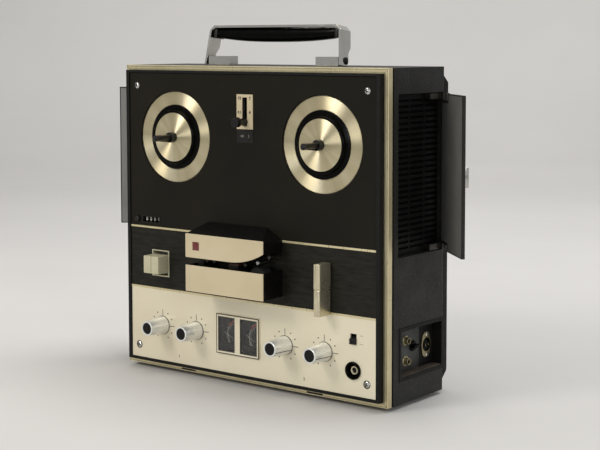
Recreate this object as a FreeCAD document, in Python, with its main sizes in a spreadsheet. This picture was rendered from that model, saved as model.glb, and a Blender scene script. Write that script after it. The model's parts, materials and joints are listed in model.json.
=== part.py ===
import FreeCAD, Part
import math
import os
import re
import Sketcher
from FreeCAD import Placement, Rotation, Vector

# Reel to reel tape deck that stands upright on four feet.
# Frame: +X right, +Z up, the deck faces -Y. The origin is on the floor, midway between the feet.

SIZES = [
    ("case_width", 412, "cabinet and trim, left to right"),
    ("case_height", 391, "cabinet and trim, bottom to top"),
    ("case_depth", 120, "front of the trim to the back of the cabinet"),
    ("case_wall", 9, "cabinet board"),
    ("case_corner", 4, "rounding of the cabinet's rear edges"),
    ("foot_height", 5, "feet"),
    ("foot_radius", 9, "feet"),
    ("foot_inset", 26, "foot centre to the side of the cabinet"),
    ("foot_spacing", 76, "front foot to rear foot"),
    ("trim_width", 6.5, "face of the front trim"),
    ("trim_wall", 1.6, "sheet of the trim"),
    ("trim_return", 8, "depth of the trim's side"),
    ("trim_gap", 3, "shadow gap between the trim and the cabinet"),
    ("deck_proud", 6.5, "deck face in front of the trim"),
    ("bezel_proud", 1.4, "bezel in front of the deck face"),
    ("panel_side", 12.2, "side of the case to the side of a panel"),
    ("panel_end", 10.2, "top or bottom of the case to the end of a panel"),
    ("panel_gap", 0.5, "clearance round the panels"),
    ("panel_thick", 2, "deck, middle and control panels"),
    ("strip_low", 103.4, "lower dividing strip above the case bottom"),
    ("strip_high", 182.2, "upper dividing strip above the case bottom"),
    ("strip_thick", 2.6, "dividing strips"),
    ("strip_proud", 0.7, "dividing strips in front of the panels"),
    ("tray_depth", 12.5, "chassis tray behind the panels"),
    ("sheet_thick", 2, "chassis sheet"),
    ("screw_side", 24.8, "side of the case to a panel screw"),
    ("screw_end", 26.2, "top or bottom of the case to a panel screw"),
    ("screw_head", 4.2, "panel screw head radius"),
    ("screw_rise", 1.6, "panel screw head height"),
    ("screw_shank", 1.9, "panel screw shank radius"),
    ("screw_length", 7, "panel screw shank"),
    ("reel_spacing", 232, "spindle to spindle"),
    ("reel_rise", 300.5, "spindles above the case bottom"),
    ("turntable_radius", 57.4, "reel turntable"),
    ("turntable_gap", 1.2, "clearance round a turntable"),
    ("turntable_set", 1.7, "turntable face behind the deck face"),
    ("turntable_thick", 4, "reel turntable"),
    ("hub_flange", 40.9, "radius of the black flange on a turntable"),
    ("hub_radius", 34, "raised hub that a reel sits on"),
    ("hub_rise", 3.4, "hub in front of the deck face"),
    ("dish_radius", 31, "shallow dish in the hub face"),
    ("dish_depth", 0.6, "shallow dish in the hub face"),
    ("collar_radius", 6.5, "collar at the foot of a spindle"),
    ("collar_length", 8, "collar at the foot of a spindle"),
    ("spindle_radius", 4, "spindle nose"),
    ("spindle_core", 3.6, "spindle between its fins"),
    ("reel_shaft", 5, "reel shaft behind the hub"),
    ("spindle_reach", 38.5, "spindle tip in front of the deck face"),
    ("spindle_tip", 3, "cone at the spindle tip"),
    ("fin_thick", 1.4, "spindle fins"),
    ("fin_reach", 6, "spindle fins, from the axis"),
    ("fin_length", 16, "spindle fins"),
    ("bearing_radius", 8, "reel bearing sleeve"),
    ("bearing_flange", 13, "reel bearing flange radius"),
    ("bearing_length", 16, "bearing behind the chassis"),
    ("shaft_play", 0.05, "radial clearance of a shaft in its bearing"),
    ("running_gap", 0.3, "clearance between moving pieces"),
    ("capstan_x", 40, "capstan from the middle of the deck"),
    ("capstan_rise", 157.5, "capstan above the case bottom"),
    ("capstan_radius", 2.5, "capstan shaft"),
    ("capstan_reach", 26, "capstan in front of the deck face"),
    ("flywheel_radius", 44, "flywheel"),
    ("flywheel_thick", 12, "flywheel"),
    ("flywheel_back", 5, "flywheel behind the chassis"),
    ("motor_x", -58, "motor from the middle of the deck"),
    ("motor_rise", 150, "motor above the case bottom"),
    ("motor_radius", 29, "motor can"),
    ("motor_length", 62, "motor can"),
    ("motor_back", 23, "motor face behind the chassis"),
    ("motor_shaft", 3, "motor shaft radius"),
    ("motor_post", 3, "motor standoff radius"),
    ("pulley_radius", 7, "motor pulley"),
    ("belt_thick", 1, "flat drive belt"),
    ("belt_width", 6, "flat drive belt"),
    ("roller_radius", 13, "pinch roller"),
    ("roller_width", 16, "pinch roller"),
    ("roller_lift", 3.2, "gap between the roller and the capstan"),
    ("roller_out", 9, "back of the pinch roller in front of the deck face"),
    ("roller_shift", -2, "pinch roller to the left of the capstan"),
    ("roller_pin", 2, "pinch roller axle radius"),
    ("arm_x", 8, "pinch arm pivot from the middle of the deck"),
    ("arm_rise", 130, "pinch arm pivot above the case bottom"),
    ("arm_thick", 2.4, "pinch arm plate"),
    ("arm_width", 9, "pinch arm plate"),
    ("head_out", 8, "back of the heads in front of the deck face"),
    ("head_deep", 17, "tape heads, front to back"),
    ("head_top", 152.6, "top of the heads above the case bottom"),
    ("head_tall", 15, "tape heads"),
    ("erase_x", -51, "erase head from the middle of the deck"),
    ("erase_wide", 10, "erase head"),
    ("record_x", 1, "record and play head from the middle of the deck"),
    ("record_wide", 15, "record and play head"),
    ("guide_radius", 1.6, "tape guide posts"),
    ("guide_flange", 3, "tape guide flanges"),
    ("guide_reach", 24, "tape guides in front of the deck face"),
    ("guide_rise", 152.6, "tape guides above the case bottom"),
    ("cover_reach", 41, "front of the head covers in front of the deck face"),
    ("cover_face", 1.5, "face plates of the head covers"),
    ("cover_wall", 2, "wall of the head covers"),
    ("cover_left", 62, "left end of the face plates"),
    ("cover_right", 60.5, "right end of the face plates"),
    ("cover_taper", 3, "head covers narrower at the deck"),
    ("upper_low", 157.5, "bottom of the upper cover above the case bottom"),
    ("upper_high", 186.7, "top of the upper cover's face"),
    ("upper_back", 197, "top of the upper cover at the deck"),
    ("upper_hip", 183.4, "right shoulder of the upper cover at the deck"),
    ("upper_ridge", 34, "right end of the upper cover's ridge at the deck"),
    ("upper_bend", 9, "where the upper cover's lower edge starts to rise"),
    ("upper_bow", 103, "radius of the upper cover's lower edge"),
    ("lower_low", 115.5, "bottom of the lower cover above the case bottom"),
    ("lower_high", 148, "top of the lower cover above the case bottom"),
    ("lever_x", 125, "function lever from the middle of the deck"),
    ("lever_rise", 132.8, "function lever above the case bottom"),
    ("lever_length", 61.6, "function lever"),
    ("lever_width", 11, "function lever"),
    ("lever_reach", 22, "function lever in front of the deck face"),
    ("lever_shaft", 4, "function lever shaft radius"),
    ("knob_one", -139.5, "first knob from the middle of the deck"),
    ("knob_two", -81.5, "second knob"),
    ("knob_three", 61, "third knob"),
    ("knob_four", 120, "fourth knob"),
    ("knob_rise", 56.7, "knobs above the case bottom"),
    ("knob_base", 11.5, "knob radius at the panel"),
    ("knob_front", 9.2, "knob radius at the front"),
    ("knob_reach", 30, "knob front in front of the panel"),
    ("knob_inset", 7.3, "radius of the recess in a knob's front"),
    ("knob_dip", 1, "depth of the recess in a knob's front"),
    ("knob_shaft", 3, "control shaft radius"),
    ("pot_radius", 8.5, "potentiometer body"),
    ("pot_length", 12, "potentiometer body"),
    ("pot_bush", 4.5, "potentiometer bush radius"),
    ("record_bank", -141.4, "record buttons from the middle of the deck"),
    ("record_rise", 136.9, "record buttons above the case bottom"),
    ("bank_width", 29.1, "record button frame"),
    ("bank_height", 34, "record button frame"),
    ("bank_wall", 1.4, "record button frame"),
    ("button_height", 23.2, "record buttons"),
    ("button_reach", 19.5, "record buttons in front of the deck face"),
    ("button_travel", 6, "record button stroke"),
    ("speed_rise", 335.8, "speed plate centre above the case bottom"),
    ("speed_wide", 25.4, "speed plate"),
    ("speed_tall", 42.4, "speed plate"),
    ("speed_sheet", 0.8, "speed plate"),
    ("speed_slot", 7.6, "slot for the speed selector"),
    ("speed_run", 35, "length of the slot"),
    ("speed_grip", 6, "speed selector knob radius"),
    ("speed_reach", 20, "speed selector in front of the deck face"),
    ("speed_stroke", 18, "speed selector, low to high"),
    ("counter_x", -158.5, "counter window from the middle of the deck"),
    ("counter_rise", 192, "counter window above the case bottom"),
    ("counter_wide", 29, "counter window"),
    ("counter_tall", 7, "counter window"),
    ("counter_wall", 1.4, "counter housing"),
    ("counter_edge", 3, "housing beyond the window"),
    ("drum_radius", 3.8, "counter drums"),
    ("reset_x", -181.6, "counter reset button from the middle of the deck"),
    ("reset_radius", 3.6, "counter reset button"),
    ("reset_reach", 3, "counter reset button in front of the deck face"),
    ("reset_travel", 2.2, "counter reset button stroke"),
    ("meter_x", -12.2, "level meters from the middle of the deck"),
    ("meter_rise", 58.6, "level meters above the case bottom"),
    ("meter_wide", 68, "meter frame"),
    ("meter_tall", 49.6, "meter frame"),
    ("meter_proud", 2.2, "meter frame in front of the panel"),
    ("meter_flange", 3, "meter frame over the edge of its hole"),
    ("meter_depth", 26, "meter housing behind the panel"),
    ("glass_wide", 25.6, "meter window"),
    ("glass_tall", 42.2, "meter window"),
    ("glass_pitch", 35.4, "meter window to meter window"),
    ("glass_thick", 1.2, "meter window"),
    ("dial_depth", 6, "dial behind the panel face"),
    ("needle_length", 19, "meter needle"),
    ("needle_hub", 2, "meter needle hub radius"),
    ("needle_thick", 0.5, "meter needle"),
    ("needle_rest", 26, "meter needle above level, degrees"),
    ("needle_low", 7, "meter needle pivot below the middle of its window"),
    ("jack_x", 162, "headphone jack from the middle of the deck"),
    ("jack_rise", 40, "headphone jack above the case bottom"),
    ("jack_flange", 10.7, "headphone jack flange radius"),
    ("jack_body", 7.5, "headphone jack body radius"),
    ("jack_bore", 3.2, "headphone jack bore radius"),
    ("jack_depth", 28, "headphone jack behind the panel"),
    ("jack_proud", 3, "headphone jack in front of the panel"),
    ("switch_rise", 77, "slide switch above the case bottom"),
    ("switch_wide", 9, "slide switch"),
    ("switch_tall", 12.6, "slide switch opening"),
    ("switch_grip", 7, "slide switch button"),
    ("switch_reach", 3.2, "slide switch in front of the panel"),
    ("bay_low", 172, "speaker bay above the case bottom"),
    ("bay_high", 360.5, "top of the speaker bay above the case bottom"),
    ("bay_front", 20, "front edge of the speaker bay behind the trim"),
    ("bay_rear", 3, "speaker bay to the back of the cabinet"),
    ("grille_sheet", 2, "louvre panel"),
    ("grille_lap", 5, "louvre panel beyond its opening"),
    ("louvre_length", 28.5, "louvre slot"),
    ("louvre_height", 3, "louvre slot"),
    ("louvre_pitch", 6.6, "louvre slot to louvre slot"),
    ("louvre_column", 31.5, "louvre column to louvre column"),
    ("louvre_group", 59.4, "louvre group to louvre group"),
    ("louvre_first", 7, "lowest louvre above the bay's bottom"),
    ("louvre_inset", 6.5, "bay front to the first louvres"),
    ("speaker_radius", 45, "loudspeaker frame"),
    ("speaker_depth", 42, "loudspeaker"),
    ("magnet_radius", 24, "loudspeaker magnet"),
    ("magnet_length", 14, "loudspeaker magnet"),
    ("door_width", 90, "speaker door, hinge axis to free edge"),
    ("door_thick", 4, "speaker door"),
    ("door_gap", 1, "clearance round a closed door"),
    ("door_open", 48, "speaker door at rest, degrees from closed"),
    ("hinge_out", 3.6, "hinge axis outside the cabinet's side"),
    ("hinge_back", 1.6, "hinge axis in front of the cabinet's back"),
    ("hinge_tall", 7, "hinge arm"),
    ("hinge_arm", 30, "hinge arm along the bay"),
    ("knuckle_radius", 3.2, "hinge knuckle"),
    ("knuckle_length", 12, "door knuckle"),
    ("pin_radius", 1.5, "hinge pin"),
    ("tab_tall", 23, "pull tab on a door"),
    ("tab_reach", 5, "pull tab on a door"),
    ("tab_thick", 9, "pull tab on a door"),
    ("handle_y", -6.5, "handle pivot from the middle of the case"),
    ("handle_foot", 108, "outer face of the handle at its feet, from the middle"),
    ("handle_top", 103, "outer face of the handle at its top, from the middle"),
    ("handle_tall", 49.5, "handle top above the case"),
    ("handle_strap", 3, "handle strap"),
    ("handle_wide", 21, "handle strap"),
    ("handle_lean", 8, "handle at rest, degrees back from upright"),
    ("handle_pivot", 6.5, "handle pivot above the case"),
    ("handle_pin", 2.5, "handle pin radius"),
    ("handle_toe", 5.8, "rounded end of the handle about its pivot"),
    ("bracket_length", 34, "handle bracket"),
    ("bracket_wide", 18, "handle bracket"),
    ("bracket_tall", 11.5, "handle bracket"),
    ("grip_thick", 17, "handle grip"),
    ("grip_wide", 20, "handle grip"),
    ("grip_round", 7, "rounding of the handle grip"),
    ("dock_low", 29, "connector recess above the case bottom"),
    ("dock_high", 87, "top of the connector recess"),
    ("dock_front", 25, "front edge of the connector recess behind the trim"),
    ("dock_rear", 4, "connector recess to the back of the cabinet"),
    ("dock_depth", 13, "connector recess"),
    ("dock_wall", 2, "connector recess"),
    ("dock_rim", 2.5, "rim round the connector recess"),
    ("dock_edge", 0.8, "rim round the connector recess"),
    ("phono_radius", 4.2, "phono socket"),
    ("phono_bore", 1.6, "phono socket bore radius"),
    ("phono_reach", 8, "phono socket"),
    ("phono_y", -5, "phono sockets from the middle of the case"),
    ("phono_high", 69, "upper phono socket above the case bottom"),
    ("phono_low", 44.5, "lower phono socket above the case bottom"),
    ("inlet_y", 39, "power inlet from the middle of the case"),
    ("inlet_rise", 57, "power inlet above the case bottom"),
    ("inlet_wide", 20.4, "power inlet flange"),
    ("inlet_tall", 32, "power inlet flange"),
    ("inlet_reach", 3, "power inlet flange"),
    ("inlet_hole", 4.2, "power inlet opening radius"),
    ("selector_y", 9.5, "voltage selector from the middle of the case"),
    ("selector_rise", 60.5, "voltage selector above the case bottom"),
    ("selector_radius", 6.5, "voltage selector"),
    ("back_depth", 18, "rear cover"),
    ("back_side", 4, "side of the case to the rear cover"),
    ("back_end", 7, "top or bottom of the case to the rear cover"),
    ("back_slope", 12, "slope at the rear cover's top and bottom"),
    ("back_wall", 2.5, "rear cover"),
    ("vent_length", 90, "rear cover vent"),
    ("vent_height", 5, "rear cover vent"),
    ("vent_pitch", 13, "rear cover vent to vent"),
    ("vent_rise", 230, "lowest vent above the case bottom"),
    ("coil_length", 62, "power transformer"),
    ("coil_depth", 44, "power transformer"),
    ("coil_height", 52, "power transformer"),
    ("coil_x", -118, "power transformer from the middle of the case"),
    ("board_length", 190, "amplifier board"),
    ("board_depth", 76, "amplifier board"),
    ("board_thick", 1.6, "amplifier board"),
    ("board_rise", 12, "amplifier board above the cabinet floor"),
    ("board_x", 40, "amplifier board from the middle of the case"),
]

doc = FreeCAD.newDocument("TapeDeck")
dims = doc.addObject("Spreadsheet::Sheet", "dims")
for row, (alias, size, note) in enumerate(SIZES, 1):
    dims.set(f"A{row}", note)
    dims.set(f"B{row}", str(size))
    dims.setAlias(f"B{row}", alias)
doc.recompute()

NAMES = {alias for alias, size, note in SIZES}
PARTS = []

# Places that many pieces share, worked out from the sheet.
SIDE = "(case_width/2)"
BASE = "foot_height"
TOP = "(foot_height + case_height)"
FRONT = "(-case_depth/2)"
BACK = "(case_depth/2)"
SHELL = "(-case_depth/2 + trim_return + trim_gap)"
DECK = "(-case_depth/2 - deck_proud)"
SEAT = "(-case_depth/2 - deck_proud + panel_thick)"
REAR = "(-case_depth/2 - deck_proud + panel_thick + tray_depth)"
PANEL = "(case_width/2 - panel_side)"
OVER = "1"
HALF = "0.5"


def tied(text):
    """The same expression with every size name pointing at the sheet."""
    return re.sub(r"[a-z][a-z_]*", lambda m: "dims." + m.group(0) if m.group(0) in NAMES else m.group(0),
                  text)


def bind(piece, prop, text):
    piece.setExpression(prop, tied(text))


def size_of(text):
    """The number that an expression gives at the sheet's present values."""
    return float(dims.evalExpression(tied(text)))


def at(rise):
    """A height above the case bottom, as a height above the floor."""
    return f"(foot_height + {rise})"


def part(label, piece):
    """Names a finished sub-part; each becomes one file."""
    piece.Label = label
    PARTS.append(piece)
    return piece


# ---- primitives and booleans ----

TURN = {"x": Rotation(Vector(0, 1, 0), 90), "y": Rotation(Vector(1, 0, 0), -90), "z": Rotation()}
OTHERS = {"x": "yz", "y": "xz", "z": "xy"}


def box(x_low, x_high, y_low, y_high, z_low, z_high):
    piece = doc.addObject("Part::Box", "Box")
    for prop, low, high in (("Length", x_low, x_high), ("Width", y_low, y_high), ("Height", z_low, z_high)):
        bind(piece, prop, f"({high}) - ({low})")
    for axis, low in (("x", x_low), ("y", y_low), ("z", z_low)):
        bind(piece, "Placement.Base." + axis, low)
    return piece


def place_round(piece, axis, first, second, low, high):
    piece.Placement = Placement(Vector(), TURN[axis])
    bind(piece, "Height", f"({high}) - ({low})")
    for name, text in zip(OTHERS[axis], (first, second)):
        bind(piece, "Placement.Base." + name, text)
    bind(piece, "Placement.Base." + axis, low)
    return piece


def rod(axis, first, second, low, high, radius):
    """A cylinder along an axis; first and second place it on the other two axes."""
    piece = doc.addObject("Part::Cylinder", "Rod")
    bind(piece, "Radius", radius)
    return place_round(piece, axis, first, second, low, high)


def cone(axis, first, second, low, high, radius_low, radius_high):
    piece = doc.addObject("Part::Cone", "Cone")
    bind(piece, "Radius1", radius_low)
    bind(piece, "Radius2", radius_high)
    return place_round(piece, axis, first, second, low, high)


def wedge(x_low, x_high, y_low, y_high, z_low, z_high, in_side, in_low, in_high):
    """A block whose face at y_high is smaller by in_side at each side, in_low below and in_high above."""
    piece = doc.addObject("Part::Wedge", "Wedge")
    for prop, text in (("Xmin", x_low), ("Xmax", x_high), ("Ymin", y_low), ("Ymax", y_high),
                       ("Zmin", z_low), ("Zmax", z_high), ("X2min", f"({x_low}) + {in_side}"),
                       ("X2max", f"({x_high}) - {in_side}"), ("Z2min", f"({z_low}) + {in_low}"),
                       ("Z2max", f"({z_high}) - {in_high}")):
        bind(piece, prop, text)
    return piece


def fuse(*pieces):
    if len(pieces) == 1:
        return pieces[0]
    piece = doc.addObject("Part::MultiFuse", "Fuse")
    piece.Shapes = list(pieces)
    return piece


def group(*pieces):
    """Separate solids that share one node."""
    piece = doc.addObject("Part::Compound", "Group")
    piece.Links = list(pieces)
    return piece


def cut(base, *tools):
    piece = doc.addObject("Part::Cut", "Cut")
    piece.Base = base
    piece.Tool = fuse(*tools)
    return piece


def common(first, second):
    piece = doc.addObject("Part::Common", "Common")
    piece.Base = first
    piece.Tool = second
    return piece


# ---- sketched bodies ----

def sketch_on(body, role):
    sketch = body.newObject("Sketcher::SketchObject", "Sketch")
    plane = next(feature for feature in body.Origin.OriginFeatures if feature.Role == role)
    sketch.AttachmentSupport = [(plane, "")]
    sketch.MapMode = "FlatFace"
    return sketch


def pin_point(sketch, element, point, across, up):
    for kind, text in (("DistanceX", across), ("DistanceY", up)):
        index = sketch.addConstraint(Sketcher.Constraint(kind, -1, 1, element, point, size_of(text)))
        sketch.setExpression(f"Constraints[{index}]", tied(text))


def draw_outline(sketch, corners):
    first = sketch.GeometryCount
    points = [Vector(size_of(across), size_of(up), 0) for across, up in corners]
    for k, point in enumerate(points):
        sketch.addGeometry(Part.LineSegment(point, points[(k + 1) % len(points)]), False)
    for k, (across, up) in enumerate(corners):
        after = first + (k + 1) % len(corners)
        sketch.addConstraint(Sketcher.Constraint("Coincident", first + k, 2, after, 1))
        pin_point(sketch, first + k, 1, across, up)


def draw_circle(sketch, across, up, radius):
    centre = Vector(size_of(across), size_of(up), 0)
    element = sketch.addGeometry(Part.Circle(centre, Vector(0, 0, 1), size_of(radius)), False)
    pin_point(sketch, element, 3, across, up)
    index = sketch.addConstraint(Sketcher.Constraint("Radius", element, size_of(radius)))
    sketch.setExpression(f"Constraints[{index}]", tied(radius))


def corners_of(across_low, across_high, up_low, up_high):
    return [(across_low, up_low), (across_high, up_low), (across_high, up_high), (across_low, up_high)]


def square_about(across, up, width, height):
    return corners_of(f"{across} - ({width})/2", f"{across} + ({width})/2",
                      f"{up} - ({height})/2", f"{up} + ({height})/2")


def turned(across, up, profile):
    """A piece turned about an axis along Y; the profile holds radius and Y."""
    body = doc.addObject("PartDesign::Body", "Turned")
    sketch = sketch_on(body, "XY_Plane")
    draw_outline(sketch, profile)
    spin = body.newObject("PartDesign::Revolution", "Spin")
    spin.Profile = sketch
    spin.ReferenceAxis = (sketch, ["V_Axis"])
    spin.Angle = 360
    bind(body, "Placement.Base.x", across)
    bind(body, "Placement.Base.z", up)
    return body


def plate(outlines, circles, y_low, thick):
    """A flat piece facing -Y: the first outline is its edge, the others and the circles are holes."""
    body = doc.addObject("PartDesign::Body", "Plate")
    sketch = sketch_on(body, "XZ_Plane")
    for corners in outlines:
        draw_outline(sketch, corners)
    for circle in circles:
        draw_circle(sketch, *circle)
    pad = body.newObject("PartDesign::Pad", "Pad")
    pad.Profile = sketch
    pad.Reversed = True
    bind(pad, "Length", thick)
    bind(body, "Placement.Base.y", y_low)
    return body


def frame_of(side_out, low_out, high_out, side_in, low_in, high_in, y_low, y_high):
    """A rectangular ring about the middle of the case."""
    return cut(box(f"-({side_out})", side_out, y_low, y_high, low_out, high_out),
               box(f"-({side_in})", side_in, f"{y_low} - {OVER}", f"{y_high} + {OVER}", low_in, high_in))


# ---- cabinet, trim and feet ----

BAY_FRONT = "(-case_depth/2 + bay_front)"
BAY_REAR = "(case_depth/2 - bay_rear)"
DOCK_FRONT = "(-case_depth/2 + dock_front)"
DOCK_REAR = "(case_depth/2 - dock_rear)"


def build_cabinet():
    outer = plate([corners_of(f"-{SIDE}", SIDE, BASE, TOP)], [], SHELL, f"{BACK} - {SHELL}")
    doc.recompute()
    pad = outer.Tip
    rear = max(range(len(pad.Shape.Faces)), key=lambda k: pad.Shape.Faces[k].CenterOfMass.y)
    rounding = outer.newObject("PartDesign::Fillet", "Rounding")
    rounding.Base = (pad, [f"Face{rear + 1}"])
    bind(rounding, "Radius", "case_corner")
    hollow = box(f"-{SIDE} + case_wall", f"{SIDE} - case_wall", f"{SHELL} - {OVER}", f"{BACK} + {OVER}",
                 f"{BASE} + case_wall", f"{TOP} - case_wall")
    bays = box(f"-{SIDE} - {OVER}", f"{SIDE} + {OVER}", BAY_FRONT, BAY_REAR, at("bay_low"), at("bay_high"))
    dock = box("0", f"{SIDE} + {OVER}", DOCK_FRONT, DOCK_REAR, at("dock_low"), at("dock_high"))
    part("cabinet_shell", cut(outer, hollow, bays, dock))


def build_rear_cover():
    edge = f"({SIDE} - back_side)"
    low, high = at("back_end"), f"({TOP} - back_end)"
    rear = f"({BACK} + back_depth)"
    outer = wedge(f"-{edge}", edge, BACK, rear, low, high, "back_wall", "back_slope", "back_slope")
    inner = wedge(f"-{edge} + back_wall", f"{edge} - back_wall", f"{BACK} - 0.01", f"{rear} - back_wall",
                  f"{low} + back_wall", f"{high} - back_wall", "back_wall", "back_slope", "back_slope")
    vents = []
    for side in ("-", ""):
        for row in range(8):
            rise = f"vent_rise + {row}*vent_pitch"
            middle = f"{side}case_width/5"
            vents.append(box(f"{middle} - vent_length/2", f"{middle} + vent_length/2",
                             f"{rear} - back_wall*2",
                             f"{rear} + {OVER}", at(rise), f"{at(rise)} + vent_height"))
    part("rear_cover", cut(outer, inner, *vents))


def build_trim():
    face = frame_of(SIDE, BASE, TOP, f"{SIDE} - trim_width", f"{BASE} + trim_width", f"{TOP} - trim_width",
                    FRONT, f"{FRONT} + trim_wall")
    sides = frame_of(SIDE, BASE, TOP, f"{SIDE} - trim_wall", f"{BASE} + trim_wall", f"{TOP} - trim_wall",
                     f"{FRONT} + trim_wall", f"{FRONT} + trim_return")
    part("trim_frame", fuse(face, sides))
    hole = (f"{PANEL} + panel_gap", f"{BASE} + panel_end - panel_gap", f"{TOP} - panel_end + panel_gap")
    nose = frame_of(f"{SIDE} - trim_width", f"{BASE} + trim_width", f"{TOP} - trim_width", *hole,
                    f"{DECK} - bezel_proud", f"{FRONT} + trim_wall")
    skirt = frame_of(f"{SIDE} - trim_wall", f"{BASE} + trim_wall", f"{TOP} - trim_wall", *hole,
                     f"{FRONT} + trim_wall", SHELL)
    part("deck_bezel", fuse(nose, skirt))


def build_feet():
    feet = [rod("z", f"{side}({SIDE} - foot_inset)", f"{end}foot_spacing/2", "0", BASE, "foot_radius")
            for side in ("-", "") for end in ("-", "")]
    part("feet", group(*feet))


# ---- deck panels and the chassis tray ----

REELS = ("-reel_spacing/2", "reel_spacing/2")
KNOBS = (("left_volume_knob", "knob_one"), ("left_tone_knob", "knob_two"),
         ("right_volume_knob", "knob_three"), ("right_tone_knob", "knob_four"))
LOW_SEAM = at("strip_low")
HIGH_SEAM = at("strip_high")
SLOT = square_about("0", at("speed_rise"), "speed_slot", "speed_run")
WINDOW = square_about("counter_x", at("counter_rise"), "counter_wide", "counter_tall")
BANK = square_about("record_bank", at("record_rise"), "bank_width", "bank_height")
METER_HOLE = square_about("meter_x", at("meter_rise"), "meter_wide - meter_flange*2",
                          "meter_tall - meter_flange*2")
SWITCH_HOLE = square_about("jack_x", at("switch_rise"), "switch_wide", "switch_tall")
SCREWS = [(f"{side}({SIDE} - screw_side)", rise) for side in ("-", "")
          for rise in (at("screw_end"), f"({TOP} - screw_end)")]
TURNTABLE_HOLE = "turntable_radius + turntable_gap"
SHANK_HOLE = "screw_shank + shaft_play"


def panel_edge(low, high):
    return corners_of(f"-{PANEL}", PANEL, low, high)


def build_panels():
    screws = [(x, z, SHANK_HOLE) for x, z in SCREWS]
    reset = ("reset_x", at("counter_rise"), "reset_radius + running_gap")
    turntables = [(x, at("reel_rise"), TURNTABLE_HOLE) for x in REELS]
    top = f"{TOP} - panel_end"
    part("deck_plate", plate([panel_edge(f"{HIGH_SEAM} + strip_thick/2", top), SLOT, WINDOW],
                             turntables + [screws[1], screws[3], reset], DECK, "panel_thick"))
    lever = ("lever_x", at("lever_rise"), "lever_shaft + shaft_play")
    capstan = ("capstan_x", at("capstan_rise"), "capstan_radius + running_gap")
    part("mid_panel",
         plate([panel_edge(f"{LOW_SEAM} + strip_thick/2", f"{HIGH_SEAM} - strip_thick/2"), BANK],
                            [lever, capstan], DECK, "panel_thick"))
    bushes = [(x, at("knob_rise"), "pot_bush") for label, x in KNOBS]
    jack = ("jack_x", at("jack_rise"), "jack_body")
    part("control_panel", plate([panel_edge(at("panel_end"), f"{LOW_SEAM} - strip_thick/2"), METER_HOLE,
                                 SWITCH_HOLE], bushes + [jack, screws[0], screws[2]], DECK, "panel_thick"))
    strips = [box(f"-{PANEL}", PANEL, f"{DECK} - strip_proud", SEAT, f"{seam} - strip_thick/2",
                  f"{seam} + strip_thick/2") for seam in (LOW_SEAM, HIGH_SEAM)]
    behind_cover = box("-cover_left + cover_taper", "cover_right - cover_taper", f"{DECK} - strip_proud*2",
                       DECK,
                       f"{HIGH_SEAM} - strip_thick", f"{HIGH_SEAM} + strip_thick")
    part("divider_strips", group(strips[0], cut(strips[1], behind_cover)))


def build_screws():
    screws = []
    for x, z in SCREWS:
        screws.append(turned(x, z,
                             [("0", f"{DECK} - screw_rise"), ("screw_head*0.55", f"{DECK} - screw_rise"),
                                    ("screw_head", DECK), ("screw_shank", DECK),
                                    ("screw_shank", f"{DECK} + screw_length"),
                                    ("0", f"{DECK} + screw_length")]))
    part("panel_screws", group(*screws))


def build_chassis():
    low, high = at("panel_end"), f"({TOP} - panel_end)"
    floor = f"({LOW_SEAM} + strip_thick)"
    inset = "sheet_thick"
    turntables = [(x, at("reel_rise"), f"{TURNTABLE_HOLE}") for x in REELS]
    screws = [(x, z, SHANK_HOLE) for x, z in SCREWS]
    lever = ("lever_x", at("lever_rise"), "lever_shaft + running_gap")
    capstan = ("capstan_x", at("capstan_rise"), "bearing_radius")
    reset = ("reset_x", at("counter_rise"), "reset_radius + running_gap")
    control = corners_of(f"-{PANEL} + screw_side*0.8", f"{PANEL} - screw_side*0.8",
                         f"{low} + sheet_thick*2", f"{LOW_SEAM} - strip_thick")
    counter = square_about("counter_x", at("counter_rise"),
                           "counter_wide + counter_edge*2 + counter_wall*2",
                           "counter_tall + counter_edge*2 + counter_wall*2")
    speed = square_about("0", at("speed_rise"), "speed_slot", "speed_run")
    front = plate([panel_edge(low, high), control, counter, speed, BANK],
                  turntables + screws + [lever, capstan, reset], SEAT, "sheet_thick")
    wall = cut(box(f"-{PANEL}", PANEL, SEAT, REAR, floor, high),
               box(f"-{PANEL} + {inset}", f"{PANEL} - {inset}", f"{SEAT} - {OVER}", f"{REAR} + {OVER}",
                   f"{floor} + {inset}", f"{high} - {inset}"))
    bearings = [(x, at("reel_rise"), "bearing_radius") for x in REELS]
    stem = ("reset_x", at("counter_rise"), "reset_radius/2 + running_gap")
    pushes = [(x, at("record_rise"), "button_travel/2 + running_gap") for x in BUTTON_X]
    rear = plate([panel_edge(floor, high), speed], bearings + [capstan, lever, stem] + pushes,
                 f"{REAR} - sheet_thick", "sheet_thick")
    posts = []
    for angle in (60, 180, 300):
        across = f"motor_x + {round(math.cos(math.radians(angle)), 4)}*(motor_radius - motor_post*2)"
        up = f"motor_rise + {round(math.sin(math.radians(angle)), 4)}*(motor_radius - motor_post*2)"
        posts.append(rod("y", across, at(f"({up})"), REAR, f"{REAR} + motor_back", "motor_post"))
    part("chassis", fuse(front, wall, rear, *posts))


# ---- reels ----

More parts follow.
